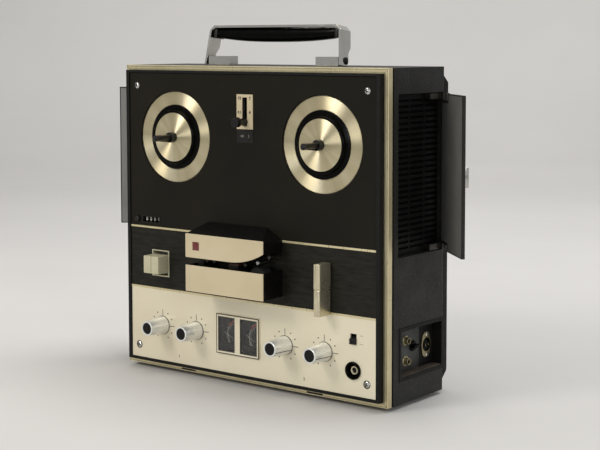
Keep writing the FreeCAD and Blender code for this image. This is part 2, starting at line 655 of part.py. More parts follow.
def build_reels():
    face = f"({DECK} + turntable_set)"
    hub = f"({DECK} - hub_rise)"
    dish = f"({hub} + dish_depth)"
    collar = f"({dish} - collar_length)"
    tip = f"({DECK} - spindle_reach)"
    shaft_end = f"({REAR} + bearing_length)"
    for name, x in (("supply", REELS[0]), ("takeup", REELS[1])):
        z = at("reel_rise")
        part(f"{name}_turntable", turned(x, z, [
            ("reel_shaft", f"{face} + dish_depth*2"), ("hub_flange", f"{face} + dish_depth*2"),
            ("hub_flange", face), ("turntable_radius", face),
            ("turntable_radius", f"{face} + turntable_thick"),
            ("reel_shaft", f"{face} + turntable_thick")]))
        stem = turned(x, z, [
            ("0", tip), ("spindle_radius/3", tip), ("spindle_radius", f"{tip} + spindle_tip"),
            ("spindle_radius", f"{collar} - fin_length"), ("spindle_core", f"{collar} - fin_length"),
            ("spindle_core", collar), ("collar_radius", collar), ("collar_radius", dish),
            ("dish_radius", dish), ("dish_radius", hub), ("hub_radius - dish_depth", hub),
            ("hub_radius", dish), ("hub_radius", face), ("hub_flange - dish_depth", face),
            ("hub_flange - dish_depth", f"{face} + dish_depth*2"), ("reel_shaft", f"{face} + dish_depth*2"),
            ("reel_shaft", shaft_end), ("0", shaft_end)])
        fins = []
        for k in range(3):
            fin = box("0", "fin_reach", "0", "fin_length + 0.01", "0", "fin_thick")
            angle = 90 + k * 120
            fin.Placement = Placement(Vector(), Rotation(Vector(0, 1, 0), angle))
            sine, cosine = (round(f(math.radians(angle)), 6) for f in (math.sin, math.cos))
            bind(fin, "Placement.Base.x", f"{x} - ({sine})*fin_thick/2")
            bind(fin, "Placement.Base.y", f"{collar} - fin_length")
            bind(fin, "Placement.Base.z", f"{z} - ({cosine})*fin_thick/2")
            fins.append(fin)
        part(f"{name}_spindle", fuse(stem, *fins))


def build_bearings():
    sleeves = []
    for x in REELS:
        sleeves.append(turned(x, at("reel_rise"), [
            ("reel_shaft + shaft_play", f"{SEAT} + turntable_thick"),
            ("bearing_radius", f"{SEAT} + turntable_thick"), ("bearing_radius", REAR),
            ("bearing_flange", REAR), ("bearing_flange", f"{REAR} + sheet_thick"),
            ("bearing_radius", f"{REAR} + sheet_thick"), ("bearing_radius", f"{REAR} + bearing_length"),
            ("reel_shaft + shaft_play", f"{REAR} + bearing_length")]))
    sleeves.append(turned("capstan_x", at("capstan_rise"), [
        ("capstan_radius + shaft_play", SEAT), ("bearing_radius", SEAT),
        ("bearing_radius", f"{REAR} + sheet_thick"),
        ("capstan_radius + shaft_play", f"{REAR} + sheet_thick")]))
    part("shaft_bearings", group(*sleeves))


# ---- tape drive ----

PULLEY_Y = "(-case_depth/2 - deck_proud + panel_thick + tray_depth + flywheel_back + flywheel_thick/2)"


def build_drive():
    front = f"({REAR} + flywheel_back)"
    back = f"({front} + flywheel_thick)"
    part("capstan_flywheel", turned("capstan_x", at("capstan_rise"), [
        ("0", f"{DECK} - capstan_reach"), ("capstan_radius*0.8", f"{DECK} - capstan_reach"),
        ("capstan_radius", f"{DECK} - capstan_reach + capstan_radius*0.4"), ("capstan_radius", front),
        ("bearing_radius", front), ("bearing_radius", f"{front} + flywheel_thick/3"),
        ("flywheel_radius*0.75", f"{front} + flywheel_thick/3"), ("flywheel_radius*0.75", front),
        ("flywheel_radius", front), ("flywheel_radius", back), ("bearing_radius", back),
        ("bearing_radius", f"{back} + sheet_thick"), ("0", f"{back} + sheet_thick")]))
    motor = f"({REAR} + motor_back)"
    part("motor_pulley", turned("motor_x", at("motor_rise"), [
        ("0", f"{PULLEY_Y} - belt_width*0.8"), ("pulley_radius", f"{PULLEY_Y} - belt_width*0.8"),
        ("pulley_radius", f"{PULLEY_Y} + belt_width*0.8"), ("motor_shaft", f"{PULLEY_Y} + belt_width*0.8"),
        ("motor_shaft", f"{motor} + motor_length/2"), ("0", f"{motor} + motor_length/2")]))
    part("drive_motor", turned("motor_x", at("motor_rise"), [
        ("motor_shaft + shaft_play", motor), ("motor_radius*0.9", motor),
        ("motor_radius", f"{motor} + motor_radius*0.1"), ("motor_radius", f"{motor} + motor_length*0.9"),
        ("motor_radius*0.8", f"{motor} + motor_length"), ("0", f"{motor} + motor_length"),
        ("0", f"{motor} + motor_length*0.55"),
        ("motor_shaft + shaft_play", f"{motor} + motor_length*0.55")]))
    build_belt()


def belt_face(extra):
    """A face bounded by two arcs round the pulley and the flywheel and the two straight runs between them."""
    start = Vector(size_of("motor_x"), 0, size_of(at("motor_rise")))
    end = Vector(size_of("capstan_x"), 0, size_of(at("capstan_rise")))
    small = size_of("pulley_radius + running_gap") + extra
    large = size_of("flywheel_radius + running_gap") + extra
    along = end.sub(start)
    line = math.atan2(along.z, along.x)
    spread = math.acos((small - large) / along.Length)

    def on(centre, radius, angle):
        return Vector(centre.x + radius * math.cos(angle), 0, centre.z + radius * math.sin(angle))

    up, down = line + spread, line - spread
    edges = [
        Part.LineSegment(on(start, small, up), on(end, large, up)).toShape(),
        Part.Arc(on(end, large, up), on(end, large, line), on(end, large, down)).toShape(),
        Part.LineSegment(on(end, large, down), on(start, small, down)).toShape(),
        Part.Arc(on(start, small, down), on(start, small, line + math.pi), on(start, small, up)).toShape(),
    ]
    return Part.Face(Part.Wire(edges))


def build_belt():
    width = Vector(0, size_of("belt_width"), 0)
    belt = doc.addObject("Part::Feature", "Belt")
    belt.Shape = belt_face(size_of("belt_thick")).extrude(width).cut(belt_face(0).extrude(width))
    belt.Placement = Placement(Vector(0, size_of(f"{PULLEY_Y} - belt_width/2"), 0), Rotation())
    part("drive_belt", belt)


ROLLER_X = "(capstan_x + roller_shift)"
ROLLER_RISE = "(capstan_rise - capstan_radius - roller_lift - roller_radius)"
ROLLER_BACK = f"({DECK} - roller_out)"
ROLLER_FRONT = f"({DECK} - roller_out - roller_width)"


def build_pinch():
    z = at(ROLLER_RISE)
    part("pinch_roller", turned(ROLLER_X, z, [
        ("roller_pin + shaft_play", ROLLER_FRONT), ("roller_radius - dish_depth", ROLLER_FRONT),
        ("roller_radius", f"{ROLLER_FRONT} + dish_depth"), ("roller_radius", f"{ROLLER_BACK} - dish_depth"),
        ("roller_radius - dish_depth", ROLLER_BACK), ("roller_pin + shaft_play", ROLLER_BACK)]))
    near = f"({ROLLER_BACK} + running_gap)"
    far = f"({near} + arm_thick)"
    bar = doc.addObject("Part::Box", "Bar")
    bind(bar, "Length", f"sqrt(({ROLLER_X} - arm_x)^2 + ({ROLLER_RISE} - arm_rise)^2)")
    bind(bar, "Width", "arm_thick")
    bind(bar, "Height", "arm_width")
    tilt = math.degrees(math.atan2(size_of(f"{ROLLER_RISE} - arm_rise"), size_of(f"{ROLLER_X} - arm_x")))
    bar.Placement = Placement(Vector(), Rotation(Vector(0, 1, 0), -tilt))
    sine, cosine = round(math.sin(math.radians(tilt)), 6), round(math.cos(math.radians(tilt)), 6)
    bind(bar, "Placement.Base.x", f"arm_x + ({sine})*arm_width/2")
    bind(bar, "Placement.Base.y", near)
    bind(bar, "Placement.Base.z", f"{at('arm_rise')} - ({cosine})*arm_width/2")
    ends = [rod("y", x, rise, near, far, "arm_width/2")
            for x, rise in (("arm_x", at("arm_rise")), (ROLLER_X, z))]
    axle = rod("y", ROLLER_X, z, f"{ROLLER_FRONT} - roller_pin", far, "roller_pin")
    pivot = rod("y", "arm_x", at("arm_rise"), f"{far} - 0.01", f"{DECK} - running_gap", "arm_width/2")
    arm = fuse(bar, *ends, axle, pivot)
    bore = rod("y", "arm_x", at("arm_rise"), f"{near} - {OVER}", f"{DECK} + {OVER}",
               "roller_pin + shaft_play")
    part("pinch_arm", cut(arm, bore))


GUIDES = (("-42", "guide_rise"), ("-30", "guide_rise"), ("19", "guide_rise"), ("56", "guide_rise + 13"))


def build_heads():
    blocks = []
    for x, wide in (("erase_x", "erase_wide"), ("record_x", "record_wide")):
        high = at("head_top")
        case = box(f"{x} - {wide}/2", f"{x} + {wide}/2", f"{DECK} - head_out - head_deep",
                   f"{DECK} - head_out",
                   f"{high} - head_tall", f"{high} - guide_radius")
        nose = rod("y", x, f"{high} - {wide}/2", f"{DECK} - head_out - head_deep*0.85",
                   f"{DECK} - head_out - head_deep*0.15", f"{wide}/2")
        foot = box(f"{x} - {wide}*0.4", f"{x} + {wide}*0.4", f"{DECK} - head_out", DECK,
                   f"{high} - head_tall - {OVER}", f"{high} - head_tall*0.3")
        blocks.append(fuse(case, nose, foot))
    part("tape_heads", group(*blocks))
    posts = []
    for x, rise in GUIDES:
        far = f"({DECK} - guide_reach)"
        posts.append(turned(x, at(f"({rise})"), [
            ("0", far), ("guide_flange*0.8", far), ("guide_flange*0.8", f"{far} + guide_radius"),
            ("guide_radius", f"{far} + guide_radius"), ("guide_radius", f"{DECK} - head_out"),
            ("guide_flange*0.8", f"{DECK} - head_out"),
            ("guide_flange*0.8", f"{DECK} - head_out + guide_radius"),
            ("guide_radius", f"{DECK} - head_out + guide_radius"), ("guide_radius", DECK), ("0", DECK)]))
    pivot = rod("y", "arm_x", at("arm_rise"), f"{ROLLER_BACK} - guide_radius", DECK, "roller_pin")
    part("tape_guides", group(*posts, pivot))


# ---- head covers ----

COVER_BODY = "(-case_depth/2 - deck_proud - cover_reach + cover_face)"


def lofted(front_corners, rear_corners, y_front, y_rear):
    """A solid between two outlines with the same number of corners, one at each Y."""
    wires = []
    for corners, y in ((front_corners, size_of(y_front)), (rear_corners, size_of(y_rear))):
        points = [Vector(size_of(across), y, size_of(up)) for across, up in corners]
        wires.append(Part.makePolygon(points + points[:1]))
    piece = doc.addObject("Part::Feature", "Loft")
    piece.Shape = Part.makeLoft(wires, True, True)
    return piece


def bowed(extra):
    """The space above the upper cover's lower edge, which rises to the right along an arc."""
    low = at("upper_low")
    left = box("-case_width/2", "upper_bend", f"{DECK} - cover_reach*2", f"{DECK} + cover_reach",
               f"{low} + {extra}", f"{low} + upper_bow")
    right = rod("y", "upper_bend", f"{low} + upper_bow", f"{DECK} - cover_reach*2", f"{DECK} + cover_reach",
                f"upper_bow - {extra}")
    return fuse(left, right)


def upper_outlines(inset):
    low = f"{at('upper_low')} + {inset}"
    bevel = "cover_face"
    front = [(f"-cover_left + {inset}", low), (f"cover_right - {inset}", low),
             (f"cover_right - {inset}", f"{at('upper_high')} - {inset} - {bevel}"),
             (f"cover_right - {inset} - {bevel}", f"{at('upper_high')} - {inset}"),
             (f"-cover_left + {inset}", f"{at('upper_high')} - {inset}")]
    rear = [(f"-cover_left + cover_taper + {inset}", low), (f"cover_right - cover_taper - {inset}", low),
            (f"cover_right - cover_taper - {inset}", f"{at('upper_hip')} - {inset}"),
            (f"upper_ridge - {inset}", f"{at('upper_back')} - {inset}"),
            (f"-cover_left + cover_taper + {inset}", f"{at('upper_back')} - {inset}")]
    return front, rear


def build_covers():
    outer = common(lofted(*upper_outlines("0"), COVER_BODY, DECK), bowed("0"))
    inner = common(lofted(*upper_outlines("cover_wall"), f"{COVER_BODY} + cover_wall", f"{DECK} + {OVER}"),
                   bowed("cover_wall"))
    part("upper_head_cover", cut(outer, inner))

    low, high = at("lower_low"), at("lower_high")
    front = corners_of("-cover_left", "cover_right", low, high)
    rear = corners_of("-cover_left + cover_taper", "cover_right - cover_taper", low, high)
    inner_front = corners_of("-cover_left + cover_wall", "cover_right - cover_wall", f"{low} + cover_wall",
                             f"{high} + {OVER}")
    inner_rear = corners_of("-cover_left + cover_taper + cover_wall",
                            "cover_right - cover_taper - cover_wall",
                            f"{low} + cover_wall", f"{high} + {OVER}")
    body = lofted(front, rear, COVER_BODY, DECK)
    hollow = lofted(inner_front, inner_rear, f"{COVER_BODY} + cover_wall", f"{DECK} + {OVER}")
    part("lower_head_cover", cut(body, hollow))

    face = f"({DECK} - cover_reach)"
    upper = box("-cover_left", "cover_right", face, COVER_BODY, at("upper_low"), at("upper_high"))
    lower = box("-cover_left", "cover_right", face, COVER_BODY, low, high)
    part("cover_plates", group(common(upper, bowed("0")), lower))


# ---- controls ----

BUTTON_WIDE = "((bank_width - bank_wall*2 - running_gap*3)/2)"
BUTTON_X = [f"(record_bank {sign} ({BUTTON_WIDE} + running_gap)/2)" for sign in ("-", "+")]


def build_record_buttons():
    inner = square_about("record_bank", at("record_rise"), "bank_width - bank_wall*2",
                         "bank_height - bank_wall*2")
    part("record_bezel",
         plate([BANK, inner], [], f"{DECK} - bank_wall", f"{REAR} - sheet_thick - {DECK} + bank_wall"))
    for label, x in zip(("left_record_button", "right_record_button"), BUTTON_X):
        z = at("record_rise")
        cap = box(f"{x} - {BUTTON_WIDE}/2", f"{x} + {BUTTON_WIDE}/2", f"{DECK} - button_reach",
                  f"{DECK} + button_travel/4", f"{z} - button_height/2", f"{z} + button_height/2")
        stem = rod("y", x, z, DECK, f"{REAR} + button_travel/2", "button_travel/2")
        part(label, fuse(cap, stem))


def build_lever():
    z = at("lever_rise")
    bar = box("lever_x - lever_width/2", "lever_x + lever_width/2", f"{DECK} - lever_reach",
              f"{DECK} - strip_proud - running_gap", f"{z} - lever_length/2", f"{z} + lever_length/2")
    shaft = rod("y", "lever_x", z, f"{DECK} - lever_reach/2", f"{REAR} + lever_shaft", "lever_shaft")
    part("function_lever", fuse(bar, shaft))


def build_knobs():
    near = f"({DECK} - {HALF})"
    front = f"({DECK} - knob_reach)"
    bodies = []
    for label, x in KNOBS:
        z = at("knob_rise")
        part(label, turned(x, z, [
            ("0", f"{front} + knob_dip"), ("knob_inset", f"{front} + knob_dip"), ("knob_inset", front),
            ("knob_front", front), ("knob_base", near), ("pot_bush + running_gap", near),
            ("pot_bush + running_gap", f"{DECK} - pot_bush - running_gap"),
            ("knob_shaft", f"{DECK} - pot_bush - running_gap"),
            ("knob_shaft", f"{SEAT} + pot_length/2"), ("0", f"{SEAT} + pot_length/2")]))
        bodies.append(turned(x, z, [
            ("knob_shaft + shaft_play", f"{DECK} - pot_bush"), ("pot_bush", f"{DECK} - pot_bush"),
            ("pot_bush", SEAT), ("pot_radius", SEAT), ("pot_radius", f"{SEAT} + pot_length"),
            ("0", f"{SEAT} + pot_length"), ("0", f"{SEAT} + pot_length*0.6"),
            ("knob_shaft + shaft_play", f"{SEAT} + pot_length*0.6")]))
    part("potentiometers", group(*bodies))


def build_speed_selector():
    hole = square_about("0", at("speed_rise"), "speed_slot", "speed_run")
    edge = square_about("0", at("speed_rise"), "speed_wide", "speed_tall")
    part("speed_plate", plate([edge, hole], [], f"{DECK} - speed_sheet", "speed_sheet"))
    z = f"({at('speed_rise')} - speed_run/2 + speed_grip - {HALF})"
    knob = cone("y", "0", z, f"{DECK} - speed_reach", f"{DECK} - speed_sheet - running_gap",
                "speed_grip*0.85", "speed_grip")
    stem = box("-speed_slot/2 + running_gap", "speed_slot/2 - running_gap", f"{DECK} - speed_reach/2",
               f"{REAR} + sheet_thick", f"{z} - speed_slot/2", f"{z} + speed_slot/2")
    foot = box("-speed_slot", "speed_slot", f"{REAR} + running_gap", f"{REAR} + sheet_thick",
               f"{z} - speed_slot", f"{z} + speed_slot")
    part("speed_selector", fuse(knob, stem, foot))


def build_counter():
    x, z = "counter_x", at("counter_rise")
    wide = "(counter_wide + counter_edge*2)"
    tall = "(counter_tall + counter_edge*2)"
    axis_y = f"({SEAT} + tray_depth/2 - sheet_thick/2)"
    outer = box(f"{x} - {wide}/2 - counter_wall", f"{x} + {wide}/2 + counter_wall", SEAT,
                f"{REAR} - sheet_thick",
                f"{z} - {tall}/2 - counter_wall", f"{z} + {tall}/2 + counter_wall")
    inner = box(f"{x} - {wide}/2", f"{x} + {wide}/2", f"{SEAT} + counter_wall",
                f"{REAR} - sheet_thick - counter_wall/4", f"{z} - {tall}/2", f"{z} + {tall}/2")
    window = box(f"{x} - counter_wide/2", f"{x} + counter_wide/2", f"{SEAT} - {OVER}",
                 f"{SEAT} + counter_wall*2",
                 f"{z} - counter_tall/2", f"{z} + counter_tall/2")
    ends = (f"{x} - {wide}/2 - counter_wall - 0.2", f"{x} + {wide}/2 + counter_wall + 0.2")
    bore = rod("x", axis_y, z, f"{ends[0]} - {OVER}", f"{ends[1]} + {OVER}", "drum_radius/3 + shaft_play")
    part("counter_housing", cut(outer, inner, window, bore))
    axle = rod("x", axis_y, z, *ends, "drum_radius/3")
    drums = rod("x", axis_y, z, f"{x} - counter_wide/2 + {HALF}", f"{x} + counter_wide/2 - {HALF}",
                "drum_radius")
    part("counter_drums", fuse(axle, drums))
    part("counter_reset", turned("reset_x", z, [
        ("0", f"{DECK} - reset_reach"), ("reset_radius*0.8", f"{DECK} - reset_reach"),
        ("reset_radius", f"{DECK} - reset_reach*0.7"), ("reset_radius", SEAT), ("reset_radius/2", SEAT),
        ("reset_radius/2", f"{REAR} + sheet_thick"), ("0", f"{REAR} + sheet_thick")]))


METERS = [f"(meter_x {sign} glass_pitch/2)" for sign in ("-", "+")]
NEEDLE_RISE = at("(meter_rise - needle_low)")


def needle_axis(x):
    return f"({x} + glass_wide/2 - needle_hub*2)"


def needle_at(x):
    """A needle on its hub, drawn level about the hub's axis and then turned up to its rest."""
    hub = rod("y", "0", "0", "0", "needle_thick*3", "needle_hub")
    pointer = box("-needle_length", "0", "needle_thick", "needle_thick*2", "-needle_thick/2",
                  "needle_thick/2")
    pin = rod("y", "0", "0", "needle_thick", "needle_thick*6", "needle_thick")
    needle = fuse(hub, pointer, pin)
    needle.Placement = Placement(Vector(), Rotation(Vector(0, 1, 0), 1))
    bind(needle, "Placement.Rotation.Angle", "needle_rest")
    bind(needle, "Placement.Base.x", needle_axis(x))
    bind(needle, "Placement.Base.y", f"{DECK} + dial_depth - needle_thick*4")
    bind(needle, "Placement.Base.z", NEEDLE_RISE)
    return needle


def build_meters():
    z = at("meter_rise")
    face = box("meter_x - meter_wide/2", "meter_x + meter_wide/2", f"{DECK} - meter_proud", DECK,
               f"{z} - meter_tall/2", f"{z} + meter_tall/2")
    housing = box("meter_x - meter_wide/2 + meter_flange", "meter_x + meter_wide/2 - meter_flange",
                  DECK, f"{DECK} + meter_depth", f"{z} - meter_tall/2 + meter_flange",
                  f"{z} + meter_tall/2 - meter_flange")
    windows, panes, pins = [], [], []
    for x in METERS:
        span = (f"{x} - glass_wide/2", f"{x} + glass_wide/2")
        windows.append(box(*span, f"{DECK} - meter_proud - {OVER}", f"{DECK} + dial_depth",
                           f"{z} - glass_tall/2", f"{z} + glass_tall/2"))
        panes.append(box(*span, f"{DECK} - meter_proud + needle_thick",
                         f"{DECK} - meter_proud + needle_thick + glass_thick",
                         f"{z} - glass_tall/2", f"{z} + glass_tall/2"))
        pins.append(rod("y", needle_axis(x), NEEDLE_RISE, DECK, f"{DECK} + dial_depth + needle_thick*4",
                        "needle_thick + shaft_play"))
    part("meter_frame", cut(fuse(face, housing), *windows, *pins))
    part("meter_glass", group(*panes))
    part("left_needle", needle_at(METERS[0]))
    part("right_needle", needle_at(METERS[1]))


def build_jack_and_switch():
    part("phone_jack", turned("jack_x", at("jack_rise"), [
        ("jack_bore", f"{DECK} - jack_proud"), ("jack_flange*0.9", f"{DECK} - jack_proud"),
        ("jack_flange", f"{DECK} - jack_proud*0.7"), ("jack_flange", DECK), ("jack_body", DECK),
        ("jack_body", f"{DECK} + jack_depth"), ("0", f"{DECK} + jack_depth"),
        ("0", f"{DECK} + jack_depth - jack_bore"), ("jack_bore", f"{DECK} + jack_depth - jack_bore")]))
    z = at("switch_rise")
    low = f"({z} - switch_tall/2 + running_gap)"
    grip = box("jack_x - switch_wide/2 + running_gap", "jack_x + switch_wide/2 - running_gap",
               f"{DECK} - switch_reach", f"{SEAT} + running_gap", low, f"{low} + switch_grip")
    tongue = box("jack_x - switch_wide*0.8", "jack_x + switch_wide*0.8", f"{SEAT} + running_gap",
                 f"{SEAT} + running_gap + panel_thick", f"{low} - running_gap*4",
                 f"{low} + switch_grip + running_gap*4")
    part("slide_switch", fuse(grip, tongue))


# ---- sides: loudspeakers, louvres and doors ----

BOARD_IN = f"({SIDE} - case_wall)"


def mirrored(low, high, side):
    """A span of X on the right, or the same span on the left."""
    return (low, high) if side == "" else (f"-({high})", f"-({low})")


def build_grille(side):
    front, rear = f"({BAY_FRONT} - grille_lap)", f"({BAY_REAR} + bay_rear/2)"
    low, high = at("bay_low"), at("bay_high")
    sheet = box(*mirrored(f"{BOARD_IN} - grille_sheet", BOARD_IN, side), front, rear,
                f"{low} - grille_lap", f"{high} + grille_lap")
    slots = []
    for column in range(3):
        for bank in range(3):
            for row in range(9):
                y = f"({BAY_FRONT} + louvre_inset + {column}*louvre_column)"
                z = f"({low} + louvre_first + {bank}*louvre_group + {row}*louvre_pitch)"
                slots.append(box(*mirrored(f"{BOARD_IN} - grille_sheet - {OVER}", f"{BOARD_IN} + {OVER}",
                                           side),
                                 y, f"{y} + louvre_length", z, f"{z} + louvre_height"))
    return cut(sheet, *slots)


def build_speaker(side):
    y, z = f"({BAY_FRONT} + {BAY_REAR})/2", f"{at('(bay_low + bay_high)/2')}"
    face = f"({BOARD_IN} - grille_sheet)"
    ring = rod("x", y, z, *mirrored(f"{face} - grille_sheet*2", face, side), "speaker_radius")
    inner = f"({face} - speaker_depth + magnet_length)"
    radii = ("magnet_radius", "speaker_radius*0.92") if side == "" else ("speaker_radius*0.92",
                                                                         "magnet_radius")
    basket = cone("x", y, z, *mirrored(inner, f"{face} - grille_sheet*2", side), *radii)
    magnet = rod("x", y, z, *mirrored(f"{face} - speaker_depth", inner, side), "magnet_radius")
    mouth = ("magnet_radius*0.5", "speaker_radius*0.84") if side == "" else ("speaker_radius*0.84",
                                                                             "magnet_radius*0.5")
    hollow = cone("x", y, z, *mirrored(f"{inner} + grille_sheet", f"{face} + 0.01", side), *mouth)
    return cut(fuse(ring, basket, magnet), hollow)


PIVOT_X = f"({SIDE} + hinge_out)"
PIVOT_Y = f"({BACK} - hinge_back)"


def knuckle_spans():
    """For each end of a door: its hinge arm's span in Z, then its knuckle's."""
    low, high = f"({at('bay_low')} + door_gap)", f"({at('bay_high')} - door_gap)"
    lower = (low, f"{low} + hinge_tall")
    upper = (f"{high} - hinge_tall", high)
    return ((lower, (f"{lower[1]} + running_gap", f"{lower[1]} + knuckle_length")),
            (upper, (f"{upper[0]} - knuckle_length", f"{upper[0]} - running_gap")))


def build_hinges():
    pieces = []
    for side in ("-", ""):
        x = f"{side}{PIVOT_X}"
        for (arm_low, arm_high), (low, high) in knuckle_spans():
            arm = box(*mirrored(BOARD_IN, f"{SIDE} - {HALF}", side), f"{PIVOT_Y} - hinge_arm", BAY_REAR,
                      arm_low, arm_high)
            link = box(*mirrored(f"{SIDE} - hinge_out", PIVOT_X, side), f"{BAY_REAR} - hinge_tall",
                       BAY_REAR, arm_low, arm_high)
            eye = rod("z", x, PIVOT_Y, arm_low, arm_high, "knuckle_radius")
            ends = sorted((arm_low, arm_high, low, high), key=size_of)
            pin = rod("z", x, PIVOT_Y, ends[0], ends[3], "pin_radius")
            pieces.append(fuse(arm, link, eye, pin))
    part("door_hinges", group(*pieces))


def build_door(side):
    """Drawn shut in its bay about the hinge axis, then swung open."""
    low, high = f"({at('bay_low')} + door_gap)", f"({at('bay_high')} - door_gap)"
    face = "(-hinge_out - door_gap/2)"
    back = f"({face} - door_thick)"
    clear = f"(-hinge_arm - door_gap)"
    rear = "(-hinge_out + hinge_back - knuckle_radius/2)"
    leaf = box(*mirrored(back, face, side), "-door_width", clear, low, high)
    waist = box(*mirrored(back, face, side), f"{clear} - {OVER}", rear,
                f"{low} + hinge_tall + running_gap", f"{high} - hinge_tall - running_gap")
    tab_low = f"{at('(bay_low + bay_high)/2')} - tab_tall/2"
    tab = box(*mirrored(f"{face} - 0.01", f"{face} + tab_reach", side), "-door_width + tab_thick/2",
              "-door_width + tab_thick*1.2", tab_low, f"{tab_low} + tab_tall")
    pieces, bores = [leaf, waist, tab], []
    for arm, (k_low, k_high) in knuckle_spans():
        pieces.append(rod("z", "0", "0", k_low, k_high, "knuckle_radius"))
        pieces.append(box(*mirrored(f"{back} + {OVER}", "0.01", side), f"{rear} - knuckle_radius*1.5", rear,
                          k_low, k_high))
        pieces.append(box(*mirrored("-pin_radius", "knuckle_radius", side), f"{rear} - knuckle_radius*1.5",
                          "0", k_low, k_high))
        bores.append(rod("z", "0", "0", f"{k_low} - {OVER}", f"{k_high} + {OVER}",
                         "pin_radius + shaft_play"))
    door = cut(fuse(*pieces), *bores)
    door.Placement = Placement(Vector(), Rotation(Vector(0, 0, 1), 1))
    bind(door, "Placement.Rotation.Angle", f"{side}door_open")
    bind(door, "Placement.Base.x", f"{side}{PIVOT_X}")
    bind(door, "Placement.Base.y", PIVOT_Y)
    return door


def build_sides():
    part("side_grilles", group(build_grille("-"), build_grille("")))
    part("speakers", group(build_speaker("-"), build_speaker("")))
    build_hinges()
    part("left_door", build_door("-"))
    part("right_door", build_door(""))


# ---- handle ----

def build_handle():
    pivot = f"({TOP} + handle_pivot)"
    blocks = []
    for side in ("-", ""):
        face = ("(handle_foot - handle_strap - running_gap - (handle_foot - handle_top)"
                "*(handle_pivot + bracket_wide*0.7)/handle_tall)")
        block = box(*mirrored(f"{face} - bracket_length", face, side), "handle_y - bracket_wide/2",
                    "handle_y + bracket_wide/2", TOP, f"{TOP} + bracket_tall")
        pin = rod("x", "handle_y", pivot,
                  *mirrored(f"{face} - handle_strap", "handle_foot + running_gap", side), "handle_pin")
        blocks.append(fuse(block, pin))
    part("handle_brackets", group(*blocks))

    rise = "(handle_tall - handle_pivot)"
    drop = "(-handle_pivot + running_gap)"
    inside = "handle_strap"
    bend = "handle_strap*2"
    lean_in = f"((handle_foot - handle_top)/({rise} + handle_pivot))"
    outer = [("-handle_foot", drop), (f"-handle_top - {bend}*{lean_in}", f"{rise} - {bend}"),
             (f"-handle_top + {bend}", rise), (f"handle_top - {bend}", rise),
             (f"handle_top + {bend}*{lean_in}", f"{rise} - {bend}"), ("handle_foot", drop)]
    inner = [(f"handle_foot - {inside}", drop),
             (f"handle_top - {inside} + {bend}*{lean_in}", f"{rise} - {bend}"),
             (f"handle_top - {inside} - {bend} + {lean_in}", f"{rise} - {inside}"),
             (f"-handle_top + {inside} + {bend} - {lean_in}", f"{rise} - {inside}"),
             (f"-handle_top + {inside} - {bend}*{lean_in}", f"{rise} - {bend}"),
             (f"-handle_foot + {inside}", drop)]
    strap = plate([outer + inner], [], "-handle_wide/2", "handle_wide")
    half = "handle_wide/2"
    heel = box("-case_width/2", "case_width/2", f"-{half}", "0", drop, f"{rise} + {OVER}")
    toe = rod("x", "0", "0", "-case_width/2", "case_width/2", "handle_toe")
    slope = wedge("-case_width/2", "case_width/2", "0", half, "0", f"{rise} + {OVER}", "0", "grip_thick",
                  "0")
    post = box("-case_width/2", "case_width/2", "0", "handle_toe", "0", f"{rise} + {OVER}")
    strap = common(strap, fuse(heel, toe, slope, post))
    bore = rod("x", "0", "0", "-case_width/2", "case_width/2", "handle_pin + shaft_play")
    frame = cut(strap, bore)
    core = box(f"-handle_top + {inside} + {bend}", f"handle_top - {inside} - {bend}", "-grip_wide/2",
               "grip_wide/2",
               f"{rise} - {inside} - grip_thick", f"{rise} - {inside}")
    doc.recompute()
    grip = doc.addObject("Part::Fillet", "Grip")
    grip.Base = core
    radius = min(size_of("grip_round"), size_of("grip_thick")/2 - 0.1, size_of("grip_wide")/2 - 0.1)
    grip.Edges = [(k + 1, radius, radius) for k, edge in enumerate(core.Shape.Edges)
                  if abs(edge.tangentAt(edge.FirstParameter).x) > 0.99
                  and edge.BoundBox.ZMax < core.Shape.BoundBox.ZMax]
    for piece in (frame, grip):
        piece.Placement = Placement(Vector(), Rotation(Vector(1, 0, 0), -1))
        bind(piece, "Placement.Rotation.Angle", "-handle_lean")
        bind(piece, "Placement.Base.y", "handle_y")
        bind(piece, "Placement.Base.z", pivot)
    part("handle_frame", frame)
    part("handle_grip", grip)


# ---- connector recess and electronics ----

